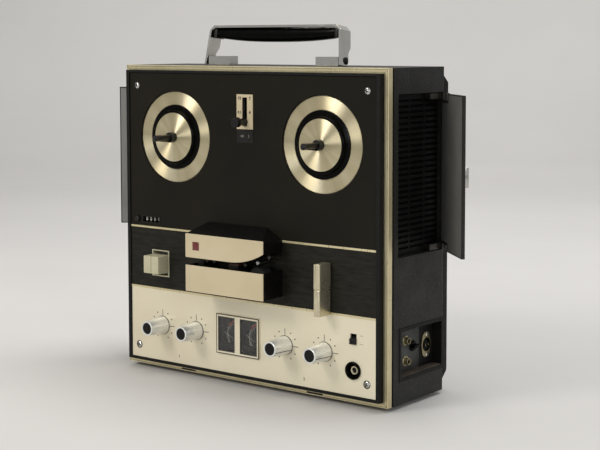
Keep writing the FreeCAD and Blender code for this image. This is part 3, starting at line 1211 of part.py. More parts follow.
def build_dock():
    low, high = at("dock_low"), at("dock_high")
    floor = f"({SIDE} - dock_depth)"
    tray = box(f"{floor} - dock_wall", SIDE, DOCK_FRONT, DOCK_REAR, low, high)
    rim = box(SIDE, f"{SIDE} + dock_edge", f"{DOCK_FRONT} - dock_rim", f"{DOCK_REAR} + dock_rim",
              f"{low} - dock_rim", f"{high} + dock_rim")
    room = box(floor, f"{SIDE} + dock_edge + {OVER}", f"{DOCK_FRONT} + dock_wall",
               f"{DOCK_REAR} - dock_wall",
               f"{low} + dock_wall", f"{high} - dock_wall")
    part("connector_recess", cut(fuse(tray, rim), room))
    sockets = []
    for rise in ("phono_high", "phono_low"):
        z = at(rise)
        body = rod("x", "phono_y", z, floor, f"{floor} + phono_reach", "phono_radius")
        nut = rod("x", "phono_y", z, floor, f"{floor} + phono_reach/4", "phono_radius*1.5")
        bore = rod("x", "phono_y", z, f"{floor} + dock_wall/2", f"{floor} + phono_reach + {OVER}",
                   "phono_bore")
        sockets.append(cut(fuse(body, nut), bore))
    z = at("inlet_rise")
    bar = box(floor, f"{floor} + inlet_reach", "inlet_y - inlet_wide/2", "inlet_y + inlet_wide/2",
              f"{z} - inlet_tall/2 + inlet_wide/2", f"{z} + inlet_tall/2 - inlet_wide/2")
    ends = [rod("x", "inlet_y", f"{z} {sign} (inlet_tall - inlet_wide)/2", floor, f"{floor} + inlet_reach",
                "inlet_wide/2")
            for sign in ("-", "+")]
    holes = [rod("x", "inlet_y", f"{z} {sign} inlet_hole*1.4", f"{floor} + inlet_reach/3",
                 f"{floor} + inlet_reach*2",
                 "inlet_hole") for sign in ("-", "+")]
    part("side_sockets", group(*sockets, cut(fuse(bar, *ends), *holes)))
    dial = rod("x", "selector_y", at("selector_rise"), f"{floor} + running_gap", f"{floor} + phono_reach/2",
               "selector_radius")
    fin = box(f"{floor} + running_gap", f"{floor} + phono_reach", "selector_y - selector_radius*0.9",
              "selector_y + selector_radius*0.9", f"{at('selector_rise')} - selector_radius/4",
              f"{at('selector_rise')} + selector_radius/4")
    part("voltage_selector", fuse(dial, fin))


def build_electronics():
    floor = f"({BASE} + case_wall)"
    y = f"({BACK} - coil_depth/2 - case_wall)"
    core = box("coil_x - coil_length/2", "coil_x + coil_length/2", f"{y} - coil_depth/4",
               f"{y} + coil_depth/4",
               floor, f"{floor} + coil_height")
    winding = box("coil_x - coil_length/3", "coil_x + coil_length/3", f"{y} - coil_depth/2",
                  f"{y} + coil_depth/2",
                  f"{floor} + coil_height/5", f"{floor} + coil_height*0.8")
    part("power_transformer", fuse(core, winding))
    rise = f"({floor} + board_rise)"
    board_low, board_high = "(board_x - board_length/2)", "(board_x + board_length/2)"
    front, rear = f"({BACK} - case_wall - board_depth)", f"({BACK} - case_wall)"
    sheet = box(board_low, board_high, front, rear, rise, f"{rise} + board_thick")
    legs = [rod("z", x, y, floor, rise, "pin_radius*2")
            for x in (f"{board_low} + case_wall", f"{board_high} - case_wall")
            for y in (f"{front} + case_wall", f"{rear} - case_wall")]
    cans = [rod("z", f"{board_low} + {k + 1}*board_length/8",
                f"{front} + board_depth/2 + {(-1) ** k}*board_depth/5",
                f"{rise} + board_thick", f"{rise} + board_thick + {14 + 5 * (k % 3)}",
                f"{4 + k % 3}") for k in range(7)]
    part("amplifier_board", fuse(sheet, *legs, *cans))


build_cabinet()
build_rear_cover()
build_trim()
build_feet()
build_panels()
build_screws()
build_chassis()
build_reels()
build_bearings()
build_drive()
build_pinch()
build_heads()
build_covers()
build_record_buttons()
build_lever()
build_knobs()
build_speed_selector()
build_counter()
build_meters()
build_jack_and_switch()
build_sides()
build_handle()
build_dock()
build_electronics()
doc.recompute()

failed = [piece.Label for piece in doc.Objects if {"Invalid", "Error"} & set(piece.State)]
if failed:
    raise RuntimeError("not built: " + ", ".join(failed))
for piece in PARTS:
    if piece.Shape.isNull() or not piece.Shape.isValid() or not piece.Shape.Solids:
        raise RuntimeError("bad shape: " + piece.Label)

os.makedirs("parts", exist_ok=True)
for piece in PARTS:
    piece.Shape.exportStep(f"parts/{piece.Label}.step")
    print(piece.Label, len(piece.Shape.Solids), round(piece.Shape.Volume, 1))
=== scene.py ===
import bmesh
import bpy
import json
import math
from mathutils import Matrix, Vector


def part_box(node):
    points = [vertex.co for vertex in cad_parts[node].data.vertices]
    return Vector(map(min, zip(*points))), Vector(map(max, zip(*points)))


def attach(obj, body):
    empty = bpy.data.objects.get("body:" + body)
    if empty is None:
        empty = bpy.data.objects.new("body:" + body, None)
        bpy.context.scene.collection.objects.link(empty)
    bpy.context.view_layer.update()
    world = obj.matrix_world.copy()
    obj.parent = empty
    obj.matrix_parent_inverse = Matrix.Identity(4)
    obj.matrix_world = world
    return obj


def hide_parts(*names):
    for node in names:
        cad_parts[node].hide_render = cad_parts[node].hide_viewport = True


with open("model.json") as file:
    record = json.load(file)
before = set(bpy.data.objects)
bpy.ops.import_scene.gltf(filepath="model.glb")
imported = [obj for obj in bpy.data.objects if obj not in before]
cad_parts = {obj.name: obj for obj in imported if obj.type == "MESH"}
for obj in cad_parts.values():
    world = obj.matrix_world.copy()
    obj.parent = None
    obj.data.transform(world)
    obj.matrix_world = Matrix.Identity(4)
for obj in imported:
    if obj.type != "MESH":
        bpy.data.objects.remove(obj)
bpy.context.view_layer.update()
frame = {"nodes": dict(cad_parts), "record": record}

MM = 0.001
BODY_OF = {node: body for body, nodes in frame["record"]["behaviour"]["bodies"].items() for node in nodes}


# ---- finishes ----

def linear(red, green, blue):
    """An sRGB colour, 0 to 255, as the linear colour that a shader takes."""
    parts = [((c / 255 + 0.055) / 1.055) ** 2.4 if c > 10 else c / 255 / 12.92 for c in (red, green, blue)]
    return (*parts, 1.0)


class Finish:
    """A procedural material, built up one layer at a time."""

    def __init__(self, name, colour, roughness=0.5, metallic=0.0, **sockets):
        self.material = bpy.data.materials.new(name)
        self.material.use_nodes = True
        self.nodes = self.material.node_tree.nodes
        self.links = self.material.node_tree.links
        self.shader = self.nodes["Principled BSDF"]
        self.shader.inputs["Base Color"].default_value = linear(*colour)
        self.shader.inputs["Roughness"].default_value = roughness
        self.shader.inputs["Metallic"].default_value = metallic
        for socket, value in sockets.items():
            self.shader.inputs[socket.replace("_", " ")].default_value = value
        self.place = self.nodes.new("ShaderNodeTexCoord").outputs["Object"]
        self.relief_from = None

    def at(self, stretch=(1, 1, 1)):
        mapping = self.nodes.new("ShaderNodeMapping")
        mapping.inputs["Scale"].default_value = stretch
        self.links.new(self.place, mapping.inputs["Vector"])
        return mapping.outputs["Vector"]

    def noise(self, scale, detail=4.0, stretch=(1, 1, 1), roughness=0.55):
        node = self.nodes.new("ShaderNodeTexNoise")
        node.inputs["Scale"].default_value = scale
        node.inputs["Detail"].default_value = detail
        node.inputs["Roughness"].default_value = roughness
        self.links.new(self.at(stretch), node.inputs["Vector"])
        return node.outputs["Fac"]

    def cells(self, scale):
        node = self.nodes.new("ShaderNodeTexVoronoi")
        node.inputs["Scale"].default_value = scale
        self.links.new(self.at(), node.inputs["Vector"])
        return node.outputs["Distance"]

    def weave(self, scale, distortion):
        node = self.nodes.new("ShaderNodeTexWave")
        node.bands_direction = "DIAGONAL"
        node.inputs["Scale"].default_value = scale
        node.inputs["Distortion"].default_value = distortion
        self.links.new(self.at(), node.inputs["Vector"])
        return node.outputs["Fac"]

    def spread(self, source, low, high, out_low, out_high):
        node = self.nodes.new("ShaderNodeMapRange")
        for name, value in (("From Min", low), ("From Max", high), ("To Min", out_low), ("To Max", out_high)):
            node.inputs[name].default_value = value
        self.links.new(source, node.inputs["Value"])
        return node.outputs["Result"]

    def tint(self, source, *stops):
        """Base colour from a pattern; each stop is a place from 0 to 1 and an sRGB colour."""
        ramp = self.nodes.new("ShaderNodeValToRGB")
        while len(ramp.color_ramp.elements) < len(stops):
            ramp.color_ramp.elements.new(0.5)
        for element, (where, colour) in zip(ramp.color_ramp.elements, stops):
            element.position = where
            element.color = linear(*colour)
        self.links.new(source, ramp.inputs["Fac"])
        self.links.new(ramp.outputs["Color"], self.shader.inputs["Base Color"])
        self.colour = ramp.outputs["Color"]
        return self

    def over(self, mask, colour):
        """Another colour laid over the base colour where the mask is 1."""
        mix = self.nodes.new("ShaderNodeMix")
        mix.data_type = "RGBA"
        self.links.new(mask, mix.inputs["Factor"])
        self.links.new(self.colour, mix.inputs["A"])
        mix.inputs["B"].default_value = linear(*colour)
        self.links.new(mix.outputs["Result"], self.shader.inputs["Base Color"])
        self.colour = mix.outputs["Result"]
        return self

    def gloss(self, source, low, high, where=(0.3, 0.7)):
        self.links.new(self.spread(source, *where, low, high), self.shader.inputs["Roughness"])
        return self

    def relief(self, source, strength, depth):
        bump = self.nodes.new("ShaderNodeBump")
        bump.inputs["Strength"].default_value = strength
        bump.inputs["Distance"].default_value = depth
        self.links.new(source, bump.inputs["Height"])
        if self.relief_from:
            self.links.new(self.relief_from, bump.inputs["Normal"])
        self.relief_from = bump.outputs["Normal"]
        self.links.new(self.relief_from, self.shader.inputs["Normal"])
        return self

    def turned_grain(self, amount):
        """Highlights run across the fine rings of a turned face, which its UV map follows."""
        tangent = self.nodes.new("ShaderNodeTangent")
        tangent.direction_type = "UV_MAP"
        tangent.uv_map = "rings"
        self.links.new(tangent.outputs["Tangent"], self.shader.inputs["Tangent"])
        self.shader.inputs["Anisotropic"].default_value = amount
        self.shader.inputs["Anisotropic Rotation"].default_value = 0.25
        return self


def plain(name, colour, roughness, metallic=0.0, mottle=8, scale=60, grain=900, depth=0.00002, **sockets):
    """A smooth finish with slight mottling, fine grain and uneven gloss."""
    f = Finish(name, colour, roughness, metallic, **sockets)
    dark = tuple(max(c - mottle, 0) for c in colour)
    light = tuple(min(c + mottle, 255) for c in colour)
    f.tint(f.noise(scale), (0.3, dark), (0.7, light))
    f.gloss(f.noise(scale * 4), max(roughness - 0.06, 0.03), roughness + 0.08)
    f.relief(f.noise(grain, 2), 0.25, depth)
    return f.material


def build_finishes():
    kit = {}
    f = Finish("grained_leatherette", (30, 30, 28), 0.52, Specular_IOR_Level=0.22)
    f.tint(f.noise(14, 5), (0.3, (27, 27, 26)), (0.7, (39, 39, 37)))
    f.over(f.spread(f.noise(160, 8, roughness=0.8), 0.64, 0.74, 0, 0.35), (112, 112, 106))
    f.over(f.spread(f.noise(620, 3), 0.58, 0.74, 0, 0.42), (98, 98, 94))
    f.gloss(f.noise(35), 0.44, 0.6)
    f.relief(f.cells(520), 0.65, 0.0003).relief(f.noise(1500, 3), 0.35, 0.0001)
    kit["leatherette"] = f.material

    f = Finish("satin_black_deck", (25, 23, 17), 0.46, Specular_IOR_Level=0.09)
    f.tint(f.noise(9, 6), (0.3, (24, 22, 16)), (0.7, (31, 28, 22)))
    f.over(f.spread(f.noise(420, 2), 0.77, 0.8, 0, 0.3), (86, 80, 66))
    f.gloss(f.noise(22, 6), 0.38, 0.52)
    f.relief(f.noise(1300, 2), 0.25, 0.00004)
    kit["deck"] = f.material

    f = Finish("grained_black_panel", (27, 26, 21), 0.45, Specular_IOR_Level=0.13)
    f.tint(f.noise(240, 4, (0.22, 1, 1)), (0.3, (22, 22, 18)), (0.72, (40, 39, 33)))
    f.gloss(f.noise(300, 3, (0.25, 1, 1)), 0.36, 0.56)
    f.relief(f.noise(420, 4, (0.22, 1, 1)), 0.6, 0.0003)
    kit["panel"] = f.material

    f = Finish("champagne_sheet", (228, 219, 194), 0.42, 0.3)
    f.tint(f.noise(6, 5), (0.3, (223, 213, 187)), (0.7, (233, 225, 201)))
    f.over(f.spread(f.noise(900, 3, (1, 1, 1)), 0.45, 0.75, 0, 0.3), (212, 202, 174))
    f.gloss(f.noise(40, 4), 0.36, 0.5)
    f.relief(f.noise(900, 2, (1, 1, 0.03)), 0.12, 0.00003)
    kit["champagne"] = f.material

    f = Finish("gilt_trim", (212, 200, 160), 0.36, 0.6)
    f.tint(f.noise(18, 5), (0.3, (203, 191, 150)), (0.7, (222, 210, 172)))
    f.gloss(f.noise(500, 2, (1, 1, 0.1)), 0.26, 0.42)
    f.relief(f.noise(700, 2, (0.1, 1, 0.1)), 0.15, 0.00003)
    kit["gilt"] = f.material

    f = Finish("cream_plate", (200, 185, 152), 0.38, 0.12)
    f.tint(f.noise(12, 5), (0.3, (195, 180, 146)), (0.7, (206, 192, 160)))
    f.gloss(f.noise(60, 4), 0.32, 0.46)
    f.relief(f.noise(1100, 2), 0.1, 0.00003)
    kit["cream"] = f.material

    f = Finish("turned_aluminium", (205, 195, 166), 0.5, 1.0)
    f.place = f.nodes.new("ShaderNodeUVMap").outputs["UV"]
    f.nodes["UV Map"].uv_map = "rings"
    f.tint(f.noise(9, 3, (1, 0.02, 1), 0.5), (0.34, (206, 193, 156)), (0.5, (220, 208, 172)),
           (0.66, (236, 226, 196)))
    # The pale radial streaks laid over the base colour are painted glints of the turned rings.
    f.over(f.spread(f.noise(90, 3, (1, 0.02, 1), 0.6), 0.6, 0.72, 0, 0.3), (236, 231, 212))
    f.gloss(f.noise(150, 3, (0.01, 1, 1)), 0.36, 0.5)
    f.relief(f.noise(220, 2, (0.005, 1, 1)), 0.12, 0.00002)
    f.turned_grain(0.98)
    kit["turned"] = f.material

    f = Finish("knob_aluminium", (236, 237, 232), 0.3, 0.6)
    f.tint(f.noise(1500, 2, (1, 0.02, 1)), (0.35, (232, 233, 229)), (0.65, (240, 241, 237)))
    f.gloss(f.noise(1100, 2, (1, 0.03, 1)), 0.27, 0.32)
    f.relief(f.noise(1500, 2, (0.05, 1, 0.05)), 0.05, 0.00002)
    kit["knob"] = f.material

    f = Finish("brushed_nickel", (206, 197, 170), 0.34, 0.85)
    f.tint(f.noise(700, 3, (1, 1, 0.05)), (0.3, (192, 182, 154)), (0.7, (220, 211, 184)))
    f.gloss(f.noise(90, 6), 0.24, 0.38)
    f.relief(f.noise(900, 2, (1, 1, 0.04)), 0.2, 0.00004)
    kit["nickel"] = f.material

    f = Finish("polished_chrome", (206, 204, 198), 0.12, 1.0)
    f.tint(f.noise(25, 5), (0.3, (196, 194, 188)), (0.7, (214, 212, 206)))
    f.gloss(f.noise(90, 6), 0.07, 0.22)
    f.relief(f.noise(500, 2), 0.05, 0.00003)
    kit["chrome"] = f.material

    f = Finish("wrinkled_black_cover", (9, 9, 8), 0.5, Specular_IOR_Level=0.09)
    f.tint(f.noise(70, 5), (0.3, (9, 9, 8)), (0.7, (17, 16, 15)))
    f.gloss(f.noise(200, 4), 0.42, 0.6)
    f.relief(f.noise(650, 4), 0.45, 0.00018)
    kit["cover"] = f.material

    # The two door linings are one grey material: the left is made lighter as painted light and the right
    # darker as painted shade, by how the lamps fall on each door.
    for side, painted_lighting_grey in (("left", 146), ("right", 92)):
        f = Finish(side + "_door_lining", (painted_lighting_grey, painted_lighting_grey, painted_lighting_grey - 3), 0.7, Specular_IOR_Level=0.3)
        dark, light = painted_lighting_grey - 5, painted_lighting_grey + 5
        f.tint(f.noise(26, 5), (0.3, (dark, dark, dark - 3)), (0.7, (light, light, light - 3)))
        f.gloss(f.noise(80), 0.62, 0.78)
        f.relief(f.noise(900, 3), 0.4, 0.0001)
        kit[side + "_lining"] = f.material

    f = Finish("speaker_cloth", (8, 8, 8), 0.9, Specular_IOR_Level=0.1)
    f.tint(f.weave(480, 0.4), (0.2, (5, 5, 5)), (0.8, (11, 11, 11)))
    f.relief(f.weave(480, 0.4), 0.5, 0.0002)
    kit["cloth"] = f.material

    f = Finish("clear_window", (235, 238, 235), 0.04, IOR=1.45, Transmission_Weight=1.0)
    f.gloss(f.noise(60, 5), 0.02, 0.07)
    f.relief(f.noise(30, 2), 0.03, 0.00005)
    kit["window"] = f.material

    kit["gloss_black"] = plain("gloss_black_plastic", (5, 5, 4), 0.2, mottle=2, Specular_IOR_Level=0.06)
    kit["satin_black"] = plain("satin_black_plastic", (15, 14, 13), 0.34, mottle=4, Specular_IOR_Level=0.35)
    kit["matt_black"] = plain("matt_black_plastic", (13, 13, 12), 0.55, mottle=4, depth=0.00006,
                              Specular_IOR_Level=0.2)
    kit["void"] = plain("black_recess", (8, 8, 8), 0.8, mottle=3)
    kit["rubber"] = plain("soft_rubber", (28, 27, 27), 0.72, mottle=6, depth=0.00006)
    kit["cream_plastic"] = plain("cream_plastic", (186, 181, 152), 0.36, mottle=6, Subsurface_Weight=0.05)
    kit["zinc"] = plain("zinc_plate", (150, 150, 146), 0.38, 0.9, mottle=14)
    kit["steel"] = plain("ground_steel", (168, 168, 168), 0.28, 1.0, mottle=10)
    kit["brass"] = plain("dull_brass", (158, 148, 116), 0.38, 0.85, mottle=18)
    kit["grey_plate"] = plain("grey_socket_plate", (58, 60, 58), 0.5, 0.1, mottle=7)
    kit["dark_steel"] = plain("darkened_steel", (66, 64, 59), 0.36, 0.9, mottle=12)
    kit["white_print"] = plain("white_print", (196, 193, 180), 0.6, mottle=10)
    kit["black_print"] = plain("black_print", (34, 32, 32), 0.55, mottle=6)
    kit["grey_print"] = plain("grey_print", (120, 117, 106), 0.6, mottle=6)
    kit["red_print"] = plain("red_print", (196, 40, 44), 0.5, mottle=10)
    kit["ruby"] = plain("ruby_lens", (104, 22, 20), 0.22, mottle=8, Coat_Weight=0.6)
    kit["dial"] = plain("meter_dial", (16, 16, 17), 0.55, mottle=4, Specular_IOR_Level=0.15)
    kit["head_brown"] = plain("head_resin", (82, 48, 34), 0.4, mottle=10)
    kit["board"] = plain("circuit_board", (96, 80, 44), 0.5, mottle=10)
    kit["iron"] = plain("lacquered_iron", (60, 58, 54), 0.5, 0.4, mottle=8)
    kit["wood"] = plain("raw_board", (60, 50, 38), 0.75, mottle=14, depth=0.0001)
    return kit


KIT = build_finishes()


# ---- making pieces ----

def settle(name, bm, finish, body, stands_for=(), edge=0.0, steps=2, sharp=35):
    """Turns a finished bmesh into a piece that rides on a body; edge rounds its sharp edges."""
    mesh = bpy.data.meshes.new(name)
    for face in bm.faces:
        face.smooth = True
    for line in bm.edges:
        if len(line.link_faces) == 2 and line.calc_face_angle(0) > math.radians(sharp):
            line.smooth = False
    bm.to_mesh(mesh)
    bm.free()
    mesh.materials.append(KIT[finish])
    piece = bpy.data.objects.new(name, mesh)
    bpy.context.scene.collection.objects.link(piece)
    if edge:
        rounding = piece.modifiers.new("rounded_edges", "BEVEL")
        rounding.width = edge * MM
        rounding.segments = steps
        rounding.limit_method = "ANGLE"
        rounding.angle_limit = math.radians(sharp)
        rounding.harden_normals = True
    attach(piece, body)
    if stands_for:
        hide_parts(*stands_for)
    return piece


def finished(node, finish, edge=0.4, steps=2):
    """The CAD node's own shape with its edges rounded."""
    bm = bmesh.new()
    bm.from_mesh(frame["nodes"][node].data)
    bmesh.ops.remove_doubles(bm, verts=bm.verts, dist=0.000003)
    bmesh.ops.dissolve_limit(bm, angle_limit=math.radians(0.4), verts=bm.verts, edges=bm.edges)
    settle(node + "_finished", bm, finish, BODY_OF[node], (node,), edge, steps)


def coat(node, finish):
    """A new finish on a CAD node that is shown as it is."""
    mesh = frame["nodes"][node].data
    mesh.materials.clear()
    mesh.materials.append(KIT[finish])


def cube(low, high):
    bm = bmesh.new()
    bmesh.ops.create_cube(bm, size=1.0)
    size = [(b - a) * MM for a, b in zip(low, high)]
    middle = [(a + b) / 2 * MM for a, b in zip(low, high)]
    bmesh.ops.scale(bm, vec=size, verts=bm.verts)
    bmesh.ops.translate(bm, vec=middle, verts=bm.verts)
    return bm


def round_edges(bm, width, steps=3):
    lines = [e for e in bm.edges if len(e.link_faces) == 2 and e.calc_face_angle(0) > math.radians(40)]
    bmesh.ops.bevel(bm, geom=lines, offset=width * MM, offset_type="OFFSET", affect="EDGES", segments=steps,
                    profile=0.5, material=-1, clamp_overlap=True)
    return bm


def join(bm, other):
    """Adds one bmesh to another."""
    holder = bpy.data.meshes.new("joining")
    other.to_mesh(holder)
    other.free()
    bm.from_mesh(holder)
    bpy.data.meshes.remove(holder)
    return bm


def lathe(x, z, profile, steps=72, rings=False):
    """Spins a profile of radius and Y about an axis along Y, in mm."""
    bm = bmesh.new()
    line = [bm.verts.new(((x + r) * MM, y * MM, z * MM)) for r, y in profile]
    for a, b in zip(line, line[1:]):
        bm.edges.new((a, b))
    bmesh.ops.spin(bm, geom=list(bm.verts) + list(bm.edges), cent=(x * MM, 0, z * MM), axis=(0, 1, 0),
                   angle=math.tau, steps=steps, use_merge=True, use_duplicate=False)
    bmesh.ops.remove_doubles(bm, verts=bm.verts, dist=0.000002)
    bmesh.ops.recalc_face_normals(bm, faces=bm.faces)
    if rings:
        layer = bm.loops.layers.uv.new("rings")
        for face in bm.faces:
            turns = [math.atan2(l.vert.co.z - z * MM, l.vert.co.x - x * MM) / math.tau for l in face.loops]
            middle = face.calc_center_median()
            here = math.atan2(middle.z - z * MM, middle.x - x * MM) / math.tau
            for loop, turn in zip(face.loops, turns):
                on_axis = (loop.vert.co - Vector((x * MM, loop.vert.co.y, z * MM))).length < 1e-6
                turn = here if on_axis else turn + round(here - turn)
                reach = math.hypot(loop.vert.co.x - x * MM, loop.vert.co.z - z * MM)
                loop[layer].uv = (turn, reach * 10)
    return bm


def slab(outline, front, back):
    """A flat piece facing -Y from an outline of X and Z, in mm."""
    bm = bmesh.new()
    face = bm.faces.new([bm.verts.new((x * MM, front * MM, z * MM)) for x, z in outline])
    made = bmesh.ops.extrude_face_region(bm, geom=[face])
    moved = [v for v in made["geom"] if isinstance(v, bmesh.types.BMVert)]
    bmesh.ops.translate(bm, vec=(0, (back - front) * MM, 0), verts=moved)
    bmesh.ops.recalc_face_normals(bm, faces=bm.faces)
    return bm


def placed(bm, turn, x, z):
    """Turns a bmesh about the Y axis and moves it to x and z, in mm."""
    bmesh.ops.rotate(bm, cent=(0, 0, 0), matrix=Matrix.Rotation(turn, 3, "Y"), verts=bm.verts)
    bmesh.ops.translate(bm, vec=(x * MM, 0, z * MM), verts=bm.verts)
    return bm


def strip(x, z, wide, tall, front, thick=0.12, turn=0.0):
    """A thin printed mark on a face, centred at x and z and turned in the face."""
    return placed(cube((-wide / 2, front, -tall / 2), (wide / 2, front + thick, tall / 2)), turn, x, z)


def border(x0, x1, z0, z1, wide, front, back, tall=None):
    """Four bars round the inside of a rectangle; tall is set where the flat bars are not as wide."""
    tall = tall or wide
    return [cube((x0, front, z1 - tall), (x1, back, z1)), cube((x0, front, z0), (x1, back, z0 + tall)),
            cube((x0, front, z0 + tall), (x0 + wide, back, z1 - tall)),
            cube((x1 - wide, front, z0 + tall), (x1, back, z1 - tall))]


def barrel(radius, length, place, steps, edge=0.0, tip=None, turn=math.pi / 2):
    """A cylinder along X about a place, in mm; tip is the radius of its far end."""
    bm = bmesh.new()
    bmesh.ops.create_cone(bm, cap_ends=True, segments=steps, radius1=radius * MM,
                          radius2=(tip or radius) * MM,
                          depth=length * MM)
    if edge:
        round_edges(bm, edge, 2)
    bmesh.ops.rotate(bm, cent=(0, 0, 0), matrix=Matrix.Rotation(turn, 3, "Y"), verts=bm.verts)
    bmesh.ops.translate(bm, vec=[c * MM for c in place], verts=bm.verts)
    return bm


def side_cube(sign, x0, x1, y0, y1, z0, z1):
    """A box on the side that sign gives; x0 and x1 are measured outwards from the middle."""
    a, b = sorted((sign * x0, sign * x1))
    return cube((a, y0, z0), (b, y1, z1))


def gather(parts):
    whole = parts[0]
    for other in parts[1:]:
        join(whole, other)
    return whole


def numerals(name, text, size, x, y, z, finish, body, thick=0.1):
    """Raised numbers on a face that looks along -Y."""
    curve = bpy.data.curves.new(name, "FONT")
    curve.body = text
    curve.size = size * MM
    curve.extrude = thick * MM / 2
    curve.offset = 0.035 * size * MM
    curve.align_x = "CENTER"
    curve.align_y = "CENTER"
    holder = bpy.data.objects.new(name + "_text", curve)
    bpy.context.scene.collection.objects.link(holder)
    bpy.context.view_layer.update()
    shape = bpy.data.meshes.new_from_object(holder.evaluated_get(bpy.context.evaluated_depsgraph_get()))
    bpy.data.objects.remove(holder)
    shape.transform(Matrix.Translation((x * MM, y * MM, z * MM)) @ Matrix.Rotation(math.pi / 2, 4, "X"))
    bm = bmesh.new()
    bm.from_mesh(shape)
    bpy.data.meshes.remove(shape)
    return settle(name, bm, finish, body)


def span(node):
    """Lowest and highest corner of a CAD node, in mm."""
    low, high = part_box(node)
    return [c / MM for c in low], [c / MM for c in high]


CASE_LOW, CASE_HIGH = span("trim_frame")
BASE, TOP = CASE_LOW[2], CASE_HIGH[2]
SIDE, TRIM_FACE = CASE_HIGH[0], CASE_LOW[1]
FACE = span("deck_plate")[0][1]
LATCH_X = 101
PANEL_SCREWS = [(x, z) for x in (-181.2, 181.2) for z in (BASE + 26.2, TOP - 26.2)]
REAR_SCREWS = [(x, z) for x in (-184, 0, 184) for z in (BASE + 34, TOP - 34)]
COUNTER_X, COUNTER_PITCH, DRUM_RADIUS = -158.5, 6.9, 3.8
METER_X = (("left", -29.9), ("right", 5.5))
METER_Z, METER_PIVOT_Z = BASE + 58.6, BASE + 51.6
METER_HALF_WIDE, METER_HALF_TALL = 12.8, 21.1
DOOR_HINGE_X, DOOR_HINGE_Y, DOOR_OPEN = 209.6, 58.4, math.radians(48)
DOOR_OUTER, DOOR_INNER = -4.1, -8.1
DOOR_MIDDLE_Z = BASE + 266.25
SOCKET_FLOOR = SIDE - 13
HANDLE_Y, HANDLE_Z, HANDLE_LEAN = -6.5, TOP + 6.5, math.radians(-8)
GRIP_TOP, GRIP_HALF = 40, 94.0


# ---- cabinet ----

def make_cabinet():
    finished("cabinet_shell", "leatherette", 1.2, 3)
    finished("rear_cover", "cover", 1.2, 3)
    finished("trim_frame", "gilt", 0.5)
    finished("deck_bezel", "matt_black", 0.3)
    finished("feet", "rubber", 1.0)
    finished("deck_plate", "deck", 0.25)
    finished("mid_panel", "panel", 0.25)
    finished("control_panel", "champagne", 0.25)
    finished("divider_strips", "gilt", 0.35)
    for node, finish in (("chassis", "zinc"), ("shaft_bearings", "brass"), ("drive_motor", "steel"),
                         ("drive_belt", "rubber"), ("capstan_flywheel", "steel"), ("motor_pulley", "brass"),
                         ("potentiometers", "zinc"), ("power_transformer", "iron"),
                         ("amplifier_board", "board"), ("counter_housing", "void"), ("pinch_arm", "steel"),
                         ("speakers", "cloth")):
        coat(node, finish)
    low, high = BASE + 1.4, BASE + 3.6
    slots = [slab([(x - 12, low), (x + 12, low), (x + 12, high), (x - 12, high)],
                  TRIM_FACE - 0.05, TRIM_FACE + 0.4)
             for x in (-LATCH_X, LATCH_X)]
    settle("trim_latch_slots", gather(slots), "void", "case")
    y = TRIM_FACE - 0.04
    seams = []
    for inset in (1.5, 4.9):
        x = SIDE - inset
        seams += border(-x, x, BASE + inset, TOP - inset, 0.35, y, y + 0.2)
    for x in (-1, 1):
        for z, up in ((BASE, 1), (TOP, -1)):
            seams.append(strip(x * (SIDE - 3.4), z + up * 3.4, 8.6, 0.4, y, 0.2, x * up * math.pi / 4))
    settle("trim_seams", gather(seams), "black_print", "case")


def make_screws():
    """Domed heads with a cross recess."""
    heads, crosses = [], []
    y = span("panel_screws")[0][1]
    for x, z in PANEL_SCREWS:
        heads.append(lathe(x, z, [(0.001, y), (1.6, y + 0.1), (3.0, y + 0.55), (3.9, y + 1.2),
                                  (4.2, y + 1.62), (3.2, y + 1.75)], 40))
        crosses += [strip(x, z, 5.2, 1.1, y - 0.06, 0.7, turn) for turn in (0.4, 0.4 + math.pi / 2)]
    # A flat black ring round each screw head: painted shadow in the countersink gap.
    painted_shadow_rings = [lathe(x, z, [(4.15, y + 1.3), (4.9, y + 1.3), (4.9, y + 1.85), (4.15, y + 1.85)], 40)
            for x, z in PANEL_SCREWS]
    settle("screw_painted_shadow_rings", gather(painted_shadow_rings), "void", "case")
    settle("screw_heads", gather(heads), "chrome", "case", ("panel_screws",))
    settle("screw_recesses", gather(crosses), "void", "case")


# ---- reels ----

